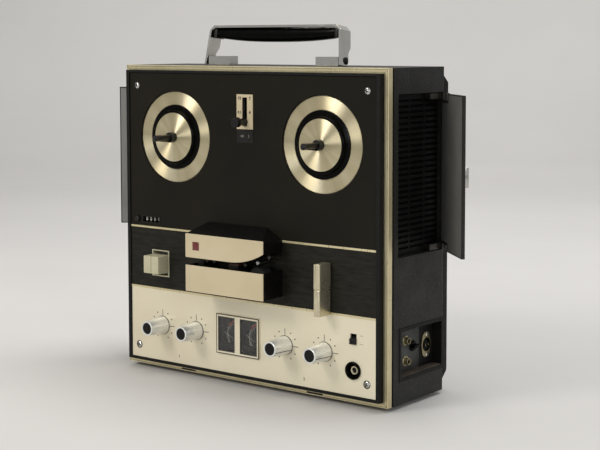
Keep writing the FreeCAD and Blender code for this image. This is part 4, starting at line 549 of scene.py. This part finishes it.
def make_reels():
    for side in ("supply", "takeup"):
        low, high = span(side + "_turntable")
        x, z = (low[0] + high[0]) / 2, (low[2] + high[2]) / 2
        face = low[1]
        body = side + "_reel"
        settle(side + "_reel_platter", lathe(x, z, [
            (5.2, face + 4), (57.0, face + 4), (57.4, face + 3.6), (57.4, face + 0.4), (57.1, face + 0.1),
            (56.6, face), (41.6, face), (41.2, face + 0.3), (41.0, face + 1.2), (5.2, face + 1.2)],
            128, True), "turned", body, (side + "_turntable",), sharp=20)
        back = span(side + "_spindle")[1][1]
        hub = FACE - 3.4
        settle(side + "_hub", lathe(x, z, [
            (5.2, face + 1.1), (40.6, face + 1.1), (40.6, face - 0.1), (40.2, face - 0.3), (36.4, face - 0.3),
            (35.4, face - 0.6), (34.4, hub + 1.4), (33.8, hub + 0.35), (33.2, hub), (31.6, hub),
            (31.1, hub + 0.3), (31.0, hub + 0.6), (5.2, hub + 0.6)], 112), "gloss_black", body)
        settle(side + "_hub_disc", lathe(x, z, [
            (6.4, hub + 0.62), (6.4, hub + 0.35), (6.8, hub + 0.3), (30.6, hub + 0.3), (30.9, hub + 0.4),
            (30.9, hub + 0.62)], 128, True), "turned", body, sharp=20)
        collar = hub - 7.4
        tip = FACE - 38.5
        stem = lathe(x, z, [
            (0.001, tip), (1.0, tip + 0.05), (1.9, tip + 0.5), (4.0, tip + 3), (4.0, collar - 16),
            (3.6, collar - 15.7), (3.6, collar - 0.4), (5.9, collar - 0.2), (6.4, collar + 0.4),
            (6.5, hub + 0.5), (5.0, hub + 0.6), (5.0, back), (0.001, back)], 48)
        for k in range(3):
            fin = cube((0, collar - 16, -0.7), (5.9, collar + 0.2, 0.7))
            round_edges(fin, 0.3, 2)
            lead = [v for v in fin.verts if v.co.y < (collar - 15) * MM and v.co.x > 5 * MM]
            bmesh.ops.translate(fin, vec=(-1.4 * MM, 0, 0), verts=lead)
            join(stem, placed(fin, math.radians(90 + 120 * k), x, z))
        settle(side + "_spindle_post", stem, "satin_black", body, (side + "_spindle",))


# ---- speed plate and counter ----

def make_speed_plate():
    finished("speed_plate", "cream", 0.15)
    low, high = span("speed_plate")
    top, bottom, half = high[2], low[2], 12.4
    label = slab([(-half, bottom - 16.5), (half, bottom - 16.5), (half, bottom - 1), (-half, bottom - 1)],
                 FACE - 0.35, FACE + 0.05)
    settle("speed_label", label, "satin_black", "case", edge=0.12)
    for k, (text, x, drop, size) in enumerate((
            ("19", -8.2, 5, 5.4), ("7", 8.2, 5, 5.4), ("9.5", -8.2, 22, 4.4), ("4", 8.2, 22, 5.4))):
        numerals(f"speed_number_{k}", text, size, x, low[1] - 0.03, top - drop, "black_print", "case", 0.08)
    for k, (text, x) in enumerate((("4.8", -4.5), ("2", 6))):
        numerals(f"speed_low_number_{k}", text, 4.0, x, FACE - 0.38, bottom - 8.5, "grey_print", "case", 0.08)
    low, high = span("speed_selector")
    y, z = low[1], (low[2] + high[2]) / 2
    knob = lathe(0, z, [(0.001, y + 0.7), (3.4, y + 0.6), (4.1, y), (5.2, y), (5.8, y + 0.5), (5.9, y + 6.5),
                        (5.0, y + 8.5), (4.2, y + 11), (4.2, FACE - 4), (5.2, FACE - 1.4),
                        (0.001, FACE - 1.35)], 48)
    ribs = 16
    for k in range(ribs):
        join(knob, placed(cube((5.2, y + 0.8, -0.35), (6.2, y + 6.6, 0.35)), math.tau * k / ribs, 0, z))
    join(knob, cube((-3.4, FACE - 3, z - 3.5), (3.4, high[1], z + 3.5)))
    settle("speed_knob", knob, "satin_black", "speed_selector", ("speed_selector",))


def make_counter():
    low, high = span("counter_drums")
    y, z = (low[1] + high[1]) / 2, (low[2] + high[2]) / 2
    places = [COUNTER_X + (k - 1.5) * COUNTER_PITCH for k in range(4)]
    drum = bmesh.new()
    for x in places:
        join(drum, barrel(DRUM_RADIUS, 6.4, (x, y, z), 40, 0.3))
    join(drum, barrel(1.2, high[0] - low[0], (COUNTER_X, y, z), 20))
    settle("counter_wheels", drum, "satin_black", "counter_drums", ("counter_drums",))
    for k, (digit, x) in enumerate(zip("0316", places)):
        numerals(f"counter_digit_{k}", digit, 6.2, x, y - DRUM_RADIUS - 0.02, z, "white_print",
                 "counter_drums", 0.1)
    low, high = span("counter_reset")
    x, y = (low[0] + high[0]) / 2, low[1]
    settle("counter_button", lathe(x, z, [
        (0.001, y + 0.35), (2.2, y + 0.25), (2.7, y), (3.2, y + 0.3), (3.6, y + 1.1), (3.6, FACE + 2),
        (1.8, FACE + 2), (1.8, high[1]), (0.001, high[1])], 40),
        "satin_black", "counter_reset", ("counter_reset",))
    rim = border(COUNTER_X - 15.9, COUNTER_X + 15.9, z - 4.3, z + 4.3, 1.4, FACE - 0.35, FACE + 0.4, 0.8)
    settle("counter_window_rim", gather(rim), "satin_black", "case")


# ---- middle panel ----

def make_record_buttons():
    finished("record_bezel", "cream_plastic", 0.25)
    for side in ("left", "right"):
        node = side + "_record_button"
        low, high = span(node)
        cap = cube((low[0] + 0.05, low[1], low[2]), (high[0] - 0.05, FACE + 1.5, high[2]))
        x, z = (low[0] + high[0]) / 2, (low[2] + high[2]) / 2
        for v in cap.verts:
            if v.co.y < (low[1] + 1) * MM:
                v.co.z = (z + (v.co.z / MM - z) * 0.965) * MM
        round_edges(cap, 1.1, 4)
        stem = lathe(x, z, [(0.001, FACE + 1), (3, FACE + 1), (3, high[1] - 0.4), (2.6, high[1]),
                            (0.001, high[1])], 32)
        settle(node + "_cap", join(cap, stem), "cream_plastic", BODY_OF[node], (node,))


def make_lever():
    low, high = span("function_lever")
    x, z = (low[0] + high[0]) / 2, (low[2] + high[2]) / 2
    front, back = low[1], FACE - 1
    bars = []
    for half, bottom, top in ((5.4, z + 1.3, high[2]), (5.0, low[2], z + 0.1)):
        bar = cube((x - half, front, bottom), (x + half, back, top))
        for v in bar.verts:
            if v.co.y < (front + 1) * MM:
                v.co.x = (x + (v.co.x / MM - x) * 0.86) * MM
        bars.append(round_edges(bar, 0.9, 4))
    core = cube((x - 4.6, front + 1.2, z - 2), (x + 4.6, back, z + 3))
    settle("function_lever_bar", gather(bars + [core]), "nickel", "function_lever", ("function_lever",))
    top = high[2]
    ribs = [round_edges(cube((x + dx - 0.55, front - 0.02, top - 9),
                             (x + dx + 0.55, front + 1.2, top - 0.6)), 0.3, 2)
            for dx in (-2.4, 0, 2.4)]
    settle("function_lever_ribs", gather(ribs), "nickel", "function_lever")
    hub = lathe(x, z, [(0.001, back - 3), (4, back - 3), (4, high[1]), (0.001, high[1])], 48)
    settle("function_lever_hub", hub, "steel", "function_lever")


def make_heads():
    finished("tape_guides", "dark_steel", 0.2)
    finished("tape_heads", "dark_steel", 0.5)
    block = round_edges(cube((-6.4, -90.2, BASE + 144), (8.4, -76, BASE + 152.8)), 0.8, 3)
    settle("record_head_face", block, "head_brown", "case")
    finished("upper_head_cover", "cover", 0.5, 3)
    finished("lower_head_cover", "cover", 0.5, 3)
    finished("cover_plates", "cream", 0.3, 3)
    y = span("cover_plates")[0][1]
    z = BASE + 172
    lens = round_edges(cube((-50.2, y - 0.35, z - 5.2), (-39.8, y + 0.3, z + 5.2)), 0.3, 2)
    settle("pilot_lens", lens, "ruby", "case")
    ridges = [round_edges(cube((-49.4, y - 0.6, z + dz - 0.5), (-40.6, y, z + dz + 0.5)), 0.25, 2)
              for dz in (-3.4, -1.7, 0, 1.7, 3.4)]
    settle("pilot_lens_ribs", gather(ridges), "ruby", "case")
    low, high = span("pinch_roller")
    x, z = (low[0] + high[0]) / 2, (low[2] + high[2]) / 2
    settle("pinch_roller_tyre", lathe(x, z, [
        (2.1, low[1]), (5.4, low[1]), (5.6, low[1] + 0.5), (11.8, low[1] + 0.5), (12.6, low[1] + 0.7),
        (13, low[1] + 1.4), (13, high[1] - 1.4), (12.6, high[1] - 0.7), (11.8, high[1] - 0.5),
        (2.1, high[1] - 0.5)], 72),
        "rubber", "pinch_roller", ("pinch_roller",))
    settle("pinch_roller_core", lathe(x, z, [(2.15, low[1] + 0.1), (5.2, low[1] + 0.1), (5.2, low[1] + 0.6),
                                             (2.15, low[1] + 0.6)], 40), "steel", "pinch_roller")


# ---- control panel ----

KNOBS = (("left_volume_knob", 215), ("left_tone_knob", 205), ("right_volume_knob", -24),
         ("right_tone_knob", -20))


def make_knobs():
    ticks = []
    for node, pointing in KNOBS:
        low, high = span(node)
        x, z = (low[0] + high[0]) / 2, (low[2] + high[2]) / 2
        front, near = low[1], FACE - 0.5
        body = lathe(x, z, [
            (3, high[1]), (3, FACE - 4.9), (4.9, FACE - 4.9), (4.9, near), (11.1, near), (11.5, near - 0.4),
            (11.35, near - 2.2), (10.7, near - 10), (9.35, front + 0.8), (9.1, front + 0.2), (8.7, front),
            (7.7, front), (7.4, front + 0.3), (7.3, front + 1.0), (0.001, front + 1.0)], 96)
        settle(node + "_body", body, "knob", BODY_OF[node], (node,), sharp=28)
        settle(node + "_inlay", lathe(x, z, [
            (7.25, front + 1.02), (7.2, front + 0.75), (6.6, front + 0.62), (3.4, front + 0.72),
            (0.001, front + 0.75)], 64), "matt_black", BODY_OF[node])
        # A black ring just behind each knob's skirt: painted shadow in the gap between knob and panel.
        settle(node + "_painted_shadow_ring", lathe(x, z, [
            (11.0, near + 0.05), (11.9, near + 0.05), (11.9, FACE + 0.1), (11.0, FACE + 0.1)], 72),
            "void", BODY_OF[node])
        line = cube((9.0, front + 1.6, -0.35), (9.75, near - 0.6, 0.35))
        outer = [v for v in line.verts if v.co.y > (FACE - 8) * MM]
        bmesh.ops.translate(line, vec=(1.85 * MM, 0, 0), verts=outer)
        settle(node + "_pointer", placed(line, -math.radians(pointing), x, z), "black_print", BODY_OF[node])
        for hour in range(-5, 6):
            angle = math.radians(90 - hour * 30)
            long = hour in (0, 3)
            reach, length, wide = (16.5, 7.5, 0.8) if long else (17.8, 1.8, 1.4)
            ticks.append(strip(x + reach * math.cos(angle), z + reach * math.sin(angle), length, wide,
                               FACE - 0.06, 0.1, -angle))
    settle("knob_scale_marks", gather(ticks), "black_print", "case")


def arc_strip(name, x, z, radius, wide, start, end, front, finish):
    """A printed arc on a face."""
    bm = bmesh.new()
    edge = [bm.verts.new(((x + r * math.cos(start)) * MM, front * MM, (z + r * math.sin(start)) * MM))
            for r in (radius - wide / 2, radius + wide / 2)]
    line = bm.edges.new(edge)
    bmesh.ops.spin(bm, geom=edge + [line], cent=(x * MM, 0, z * MM), axis=(0, -1, 0), angle=end - start,
                   steps=24)
    bmesh.ops.solidify(bm, geom=bm.faces[:], thickness=0.1 * MM)
    bmesh.ops.recalc_face_normals(bm, faces=bm.faces)
    settle(name, bm, finish, "case")


def make_meters():
    low, high = span("meter_frame")
    front = low[1]
    dial = FACE + 5.7
    finished("meter_frame", "champagne", 0.35)
    outline = border(low[0] - 0.1, high[0] + 0.1, low[2] - 0.1, high[2] + 0.1, 1.1, front - 0.08, front + 0.5)
    for side, cx in METER_X:
        x0, x1 = cx - METER_HALF_WIDE, cx + METER_HALF_WIDE
        z0, z1 = METER_Z - METER_HALF_TALL, METER_Z + METER_HALF_TALL
        outline += border(x0 - 0.7, x1 + 0.7, z0 - 0.7, z1 + 0.7, 0.7, front - 0.06, front + 0.4)
        face = cube((x0 + 0.05, dial, z0 + 0.05), (x1 - 0.05, dial + 0.28, z1 - 0.05))
        settle(side + "_meter_dial", face, "dial", "case")
        rise = front + 1.9
        well = [cube((x0 + 0.02, rise, z0 + 0.02), (x0 + 0.3, dial, z1 - 0.02)),
                cube((x1 - 0.3, rise, z0 + 0.02), (x1 - 0.02, dial, z1 - 0.02)),
                cube((x0 + 0.3, rise, z1 - 0.3), (x1 - 0.3, dial, z1 - 0.02)),
                cube((x0 + 0.3, rise, z0 + 0.02), (x1 - 0.3, dial, z0 + 0.3))]
        settle(side + "_meter_well", gather(well), "matt_black", "case")
        ax, az = cx + 15, BASE + 57
        for k, (start, end, finish, radius, wide) in enumerate((
                (106, 146, "red_print", 19.6, 1.9), (146, 232, "white_print", 19.2, 0.9),
                (106, 232, "white_print", 17.2, 0.4))):
            arc_strip(f"{side}_meter_arc_{k}", ax, az, radius, wide, math.radians(start), math.radians(end),
                      dial - 0.12, finish)
        marks = []
        for k in range(11):
            a = math.radians(108 + k * 12)
            marks.append(strip(ax + 20.4 * math.cos(a), az + 20.4 * math.sin(a),
                               2.6 if k % 2 == 0 else 1.6, 0.4, dial - 0.14, 0.1, -a))
        settle(side + "_meter_marks", gather(marks), "white_print", "case")
        boss = lathe(cx + 8.8, METER_PIVOT_Z, [
            (0.001, dial - 3.6), (2.2, dial - 3.5), (2.6, dial - 3.1), (2.7, dial - 2.4), (2.7, dial)], 32)
        settle(side + "_needle_boss", boss, "matt_black", "case")
        coat(side + "_needle", "white_print")
        hood = round_edges(cube((x0 + 0.4, dial - 2.6, z0 + 0.4), (x1 - 0.4, dial, z0 + 9.5)), 0.4, 2)
        settle(side + "_meter_hood", hood, "dial", "case")
    settle("meter_outlines", gather(outline), "black_print", "case")
    finished("meter_glass", "window", 0.0)


def make_jack_and_switch():
    low, high = span("phone_jack")
    x, z = (low[0] + high[0]) / 2, (low[2] + high[2]) / 2
    y = low[1]
    settle("phone_jack_ring", lathe(x, z, [
        (7.5, high[1]), (7.5, FACE), (10.5, FACE), (10.7, FACE - 0.6), (10.5, y + 0.9), (10.0, y + 0.2),
        (9.5, y), (8.6, y + 0.5), (7.4, FACE - 0.2), (7.3, FACE + 4.6), (0.001, FACE + 4.6)], 72),
        "gloss_black", "case", ("phone_jack",))
    settle("phone_jack_bush", lathe(x, z, [
        (5.2, FACE + 4.5), (5.2, FACE + 2.2), (4.7, FACE + 1.7), (3.6, FACE + 1.7), (3.2, FACE + 2.1),
        (3.2, FACE + 4.5)], 56), "nickel", "case")
    settle("phone_jack_hole", lathe(x, z, [(0.001, FACE + 4.4), (3.25, FACE + 4.4)], 40), "void", "case")
    low, high = span("slide_switch")
    x, y = (low[0] + high[0]) / 2, low[1]
    grip = [round_edges(cube((x - 4.2, y + 0.9, low[2] + 1.2), (x + 4.2, FACE + 2, high[2] - 1.2)), 0.4, 2)]
    for k in range(4):
        z = low[2] + 1.5 + k * 1.75
        grip.append(round_edges(cube((x - 4.0, y, z), (x + 4.0, y + 1.4, z + 1)), 0.25, 2))
    grip.append(cube((low[0], FACE + 2.2, low[2]), (high[0], high[1], high[2])))
    settle("slide_switch_button", gather(grip), "satin_black", "slide_switch", ("slide_switch",))
    marks = [strip(x + 11.5, BASE + 77 + dz, wide, 0.5, FACE - 0.06, 0.1)
             for dz, wide in ((5.0, 4.0), (-5.0, 5.0))]
    settle("switch_marks", gather(marks), "grey_print", "case")
    for k, (text, x) in enumerate((("1", -111), ("2", 90))):
        numerals(f"channel_number_{k}", text, 5.0, x, FACE - 0.03, BASE + 19.5, "grey_print", "case", 0.08)


# ---- sides ----

def make_sides():
    finished("side_grilles", "matt_black", 0.25)
    finished("door_hinges", "dark_steel", 0.4)
    front, back = DOOR_INNER - 0.25, DOOR_INNER + 0.3
    for side, sign in (("left", -1), ("right", 1)):
        finished(side + "_door", "leatherette", 0.8, 3)
        turn = Matrix.Translation((sign * DOOR_HINGE_X * MM, DOOR_HINGE_Y * MM, 0))
        turn = turn @ Matrix.Rotation(sign * DOOR_OPEN, 4, "Z")
        lining = side_cube(sign, front, back, -88.6, -34.5, BASE + 174.4, BASE + 358.1)
        by_hinges = side_cube(sign, front, back, -34.6, -8, BASE + 184, BASE + 348.5)
        for bm in (lining, by_hinges):
            bm.transform(turn)
        settle(side + "_door_lining", join(lining, by_hinges), side + "_lining", side + "_door")
        tab = side_cube(sign, DOOR_OUTER - 0.02, DOOR_OUTER + 5.2, -86.5, -77.8, DOOR_MIDDLE_Z - 12,
                        DOOR_MIDDLE_Z + 12)
        round_edges(tab, 0.9, 4).transform(turn)
        settle(side + "_door_tab", tab, "chrome", side + "_door")
    cloths = [side_cube(sign, 194.4, 194.9, -43, 57.5, BASE + 168, BASE + 364) for sign in (-1, 1)]
    settle("grille_cloths", gather(cloths), "cloth", "case")
    screws = [barrel(2.6, 1.2, (sign * 197.5, -36.5, BASE + rise), 24, 0.4, 2.2, sign * math.pi / 2)
              for sign in (-1, 1) for rise in (321, 212)]
    settle("grille_screws", gather(screws), "zinc", "case")


def make_rear_screws():
    """Domed heads with a cross recess round the rear cover, and its moulded border."""
    rear = span("rear_cover")[1][1]
    heads, recesses = [], []
    for x, z in REAR_SCREWS:
        heads.append(lathe(x, z, [(0.001, rear + 1.5), (1.6, rear + 1.4), (3.0, rear + 0.9),
                                  (3.8, rear + 0.1), (3.8, rear - 0.4)], 32))
        recesses += [strip(x, z, 4.4, 0.8, rear + 0.95, 0.6, turn) for turn in (0.3, 0.3 + math.pi / 2)]
    moulding = border(20 - SIDE, SIDE - 20, BASE + 46, TOP - 46, 1.6, rear - 0.2, rear + 0.6)
    settle("rear_screws", gather(heads), "zinc", "case")
    settle("rear_screw_recesses", gather(recesses), "void", "case")
    settle("rear_border", gather(moulding), "cover", "case", edge=0.25)


# ---- connector recess ----

def side_lathe(y, z, profile, steps=48, x0=SOCKET_FLOOR):
    """Spins a profile of radius and X about an axis along X."""
    bm = lathe(0, 0, [(r, -x) for r, x in profile], steps)
    bmesh.ops.rotate(bm, cent=(0, 0, 0), matrix=Matrix.Rotation(math.pi / 2, 3, "Z"), verts=bm.verts)
    bmesh.ops.translate(bm, vec=(x0 * MM, y * MM, z * MM), verts=bm.verts)
    return bm


def make_connectors():
    finished("connector_recess", "matt_black", 0.4)
    floor = SOCKET_FLOOR
    plate = round_edges(cube((floor - 0.1, -32.8, BASE + 31.4), (floor + 0.6, 24, BASE + 84.8)), 0.2, 2)
    settle("socket_plate", plate, "grey_plate", "case")
    ledge = cube((floor + 0.7, -32.8, BASE + 31.05), (SIDE - 0.4, 53.8, BASE + 32.6))
    settle("recess_ledge", ledge, "wood", "case")
    y = -5
    nuts, cores = [], []
    for z in (BASE + 69, BASE + 44.5):
        nuts.append(side_lathe(y, z, [(6.2, 0.5), (6.2, 1.0), (5.8, 1.4), (4.3, 1.45), (4.2, 5.6), (3.9, 6.1),
                                      (3.3, 6.1), (3.05, 5.6), (3.05, 2)]))
        cores.append(side_lathe(y, z, [(3.1, 3.4), (2.9, 4.6), (1.75, 4.8), (1.6, 3), (0.001, 3)], 40))
    settle("phono_shells", gather(nuts), "brass", "case")
    settle("phono_cores", gather(cores), "satin_black", "case")
    y, z = 39, BASE + 57
    outline = []
    for k in range(48):
        turn = math.tau * k / 48
        reach = 10.1 + 5.7 * max(0.0, abs(math.sin(turn)) - 0.5) ** 1.2 / 0.5 ** 1.2
        outline.append((reach * math.cos(turn), z + reach * math.sin(turn)))
    flange = slab(outline, 0, 1.5)
    bmesh.ops.rotate(flange, cent=(0, 0, 0), matrix=Matrix.Rotation(math.pi / 2, 3, "Z"), verts=flange.verts)
    bmesh.ops.translate(flange, vec=((floor + 1.6) * MM, y * MM, 0), verts=flange.verts)
    settle("inlet_flange", round_edges(flange, 0.3, 2), "brass", "case", ("side_sockets",))
    well = side_lathe(y, z, [(8.3, 1.5), (8.3, 1.75), (7.9, 1.9), (0.001, 1.9)], 56)
    settle("inlet_insulator", well, "gloss_black", "case")
    mouths = [side_lathe(y, z + dz, [(1.5, 1.85), (1.4, 2.0), (0.001, 2.0)], 24) for dz in (-3.4, 3.4)]
    settle("inlet_mouths", gather(mouths), "void", "case")
    contacts = [round_edges(cube((floor + 1.8, y + dy - 0.5, z - 1.5),
                                 (floor + 2.9, y + dy + 0.5, z + 1.5)), 0.2, 2)
                for dy in (-3.0, 3.0)]
    settle("inlet_contacts", gather(contacts), "brass", "case")
    ears = [side_lathe(y, z + dz, [(2.5, 1.5), (2.4, 2.3), (1.5, 2.9), (0.001, 3.0)], 32)
            for dz in (-12.3, 12.3)]
    settle("inlet_screws", gather(ears), "chrome", "case")
    y, z = 9.5, BASE + 60.5
    dial = side_lathe(y, z, [(6.4, 0.7), (6.4, 2.2), (5.9, 3.0), (4.4, 3.3), (0.001, 3.3)])
    fin = round_edges(cube((floor + 0.6, y - 5.9, z - 2.1), (floor + 7.9, y + 5.9, z + 2.1)), 0.8, 3)
    settle("voltage_knob", join(dial, fin), "gloss_black", "voltage_selector", ("voltage_selector",))
    holes = [side_lathe(y, BASE + rise, [(2.0, 0.62), (1.8, 0.75), (0.001, 0.7)], 24)
             for y, rise in ((-14.7, 64.3), (-14.5, 39.8))]
    settle("plate_holes", gather(holes), "void", "case")


# ---- handle ----

def make_handle():
    finished("handle_frame", "chrome", 0.9, 4)
    finished("handle_brackets", "chrome", 1.6, 4)
    lean = Matrix.Translation((0, HANDLE_Y * MM, HANDLE_Z * MM)) @ Matrix.Rotation(HANDLE_LEAN, 4, "X")
    grip = barrel(1 / MM, 2 * GRIP_HALF, (0, 0, 0), 40)
    long_edges = [e for e in grip.edges if abs(e.verts[0].co.x - e.verts[1].co.x) > GRIP_HALF * MM]
    bmesh.ops.subdivide_edges(grip, edges=long_edges, cuts=31, use_grid_fill=False)
    for v in grip.verts:
        along = abs(v.co.x) / (GRIP_HALF * MM)
        end = 1 if along < 0.985 else 0.93
        tall = 8.4 * (1 - 0.30 * along ** 2.6) * end
        deep = 9.6 * (1 - 0.16 * along ** 2.6) * end
        angle = math.atan2(v.co.z, v.co.y)
        c, s = math.cos(angle), math.sin(angle)
        v.co.y = math.copysign(abs(c) ** 0.72, c) * deep * MM
        v.co.z = (GRIP_TOP - 0.1 - tall + math.copysign(abs(s) ** 0.72, s) * tall) * MM
    grip.transform(lean)
    settle("handle_grip_moulding", grip, "gloss_black", "handle", ("handle_grip",), sharp=50)
    caps, washers = [], []
    for sign in (-1, 1):
        cap = round_edges(side_cube(sign, 93.2, 98.6, -8.6, 8.6, GRIP_TOP - 12.4, GRIP_TOP - 0.6), 1.4, 4)
        cap.transform(lean)
        caps.append(cap)
        washer = side_lathe(HANDLE_Y, HANDLE_Z, [(4.6, 0), (4.6, 0.5), (3.4, 1.1), (0.001, 1.2)], 36, 0)
        if sign < 0:
            bmesh.ops.rotate(washer, cent=(0, HANDLE_Y * MM, HANDLE_Z * MM),
                             matrix=Matrix.Rotation(math.pi, 3, "Z"), verts=washer.verts)
        bmesh.ops.translate(washer, vec=(sign * 107.6 * MM, 0, 0), verts=washer.verts)
        washers.append(washer)
    settle("handle_grip_caps", gather(caps), "satin_black", "handle")
    settle("handle_pivot_caps", gather(washers), "satin_black", "case")


# ---- setting ----

def make_setting():
    floor = bmesh.new()
    sweep = ((-6, 0), (2.2, 0), (2.7, 0.04), (3.1, 0.2), (3.35, 0.5), (3.45, 0.9), (3.5, 6))
    edge = [floor.verts.new((-6, y, z)) for y, z in sweep]
    for a, b in zip(edge, edge[1:]):
        floor.edges.new((a, b))
    bmesh.ops.extrude_edge_only(floor, edges=floor.edges[:])
    moved = [v for v in floor.verts if v not in edge]
    bmesh.ops.translate(floor, vec=(12, 0, 0), verts=moved)
    bmesh.ops.recalc_face_normals(floor, faces=floor.faces)
    bmesh.ops.rotate(floor, cent=(0, 0, 0), matrix=Matrix.Rotation(math.radians(37), 3, "Z"),
                     verts=floor.verts)
    mesh = bpy.data.meshes.new("studio_floor")
    for face in floor.faces:
        face.smooth = True
    floor.to_mesh(mesh)
    floor.free()
    backdrop = bpy.data.objects.new("studio_floor", mesh)
    f = Finish("studio_paper", (202, 200, 197), 0.75)
    f.tint(f.noise(1.5, 3), (0.3, (200, 198, 195)), (0.7, (205, 203, 200)))
    f.gloss(f.noise(5), 0.7, 0.85)
    f.relief(f.noise(3, 2), 0.05, 0.002)
    mesh.materials.append(f.material)
    bpy.context.scene.collection.objects.link(backdrop)


def add_light(name, place, aim, size, power, colour):
    lamp = bpy.data.lights.new(name, "AREA")
    lamp.shape = "RECTANGLE"
    lamp.size = lamp.size_y = size
    lamp.energy = power
    lamp.color = colour
    holder = bpy.data.objects.new(name, lamp)
    holder.location = place
    holder.rotation_euler = (Vector(aim) - Vector(place)).to_track_quat("-Z", "Y").to_euler()
    bpy.context.scene.collection.objects.link(holder)


def make_lights_and_camera():
    world = bpy.data.worlds.new("studio_light")
    world.use_nodes = True
    world.node_tree.nodes["Background"].inputs["Color"].default_value = (0.88, 0.88, 0.87, 1)
    world.node_tree.nodes["Background"].inputs["Strength"].default_value = 0.46
    bpy.context.scene.world = world
    add_light("warm_key", (-0.85, -1.95, 1.75), (0, 0, 0.2), 0.8, 24, (1.0, 0.965, 0.9))
    add_light("cool_side", (2.1, -1.35, 0.85), (0, 0, 0.25), 0.45, 9.5, (0.95, 0.97, 1.0))
    add_light("front_strip", (-0.28, -2.35, 0.52), (0, 0, 0.28), 0.34, 5.5, (0.97, 0.98, 1.0))
    add_light("top_softbox", (0.1, 0.4, 2.5), (0, 0, 0), 1.8, 14, (1.0, 0.98, 0.95))
    add_light("backdrop_wash", (0.3, 0.9, 2.9), (-1.6, 2.6, 0.6), 2.2, 66, (0.98, 0.98, 1.0))
    data = bpy.data.cameras.new("camera")
    data.sensor_width = 36
    data.lens = 84.48
    data.shift_y = -0.125
    camera = bpy.data.objects.new("camera", data)
    camera.location = (1.09639, -1.37813, 0.427)
    look = Vector((-0.60905, 0.78934, -0.07749)).to_track_quat("-Z", "Y").to_matrix()
    camera.rotation_euler = (look @ Matrix.Rotation(math.radians(-0.09), 3, "Z")).to_euler()
    bpy.context.scene.collection.objects.link(camera)
    bpy.context.scene.camera = camera
    bpy.context.scene.view_settings.view_transform = "Standard"


make_cabinet()
make_screws()
make_reels()
make_speed_plate()
make_counter()
make_record_buttons()
make_lever()
make_heads()
make_knobs()
make_meters()
make_jack_and_switch()
make_sides()
make_rear_screws()
make_connectors()
make_handle()
make_setting()
make_lights_and_camera()
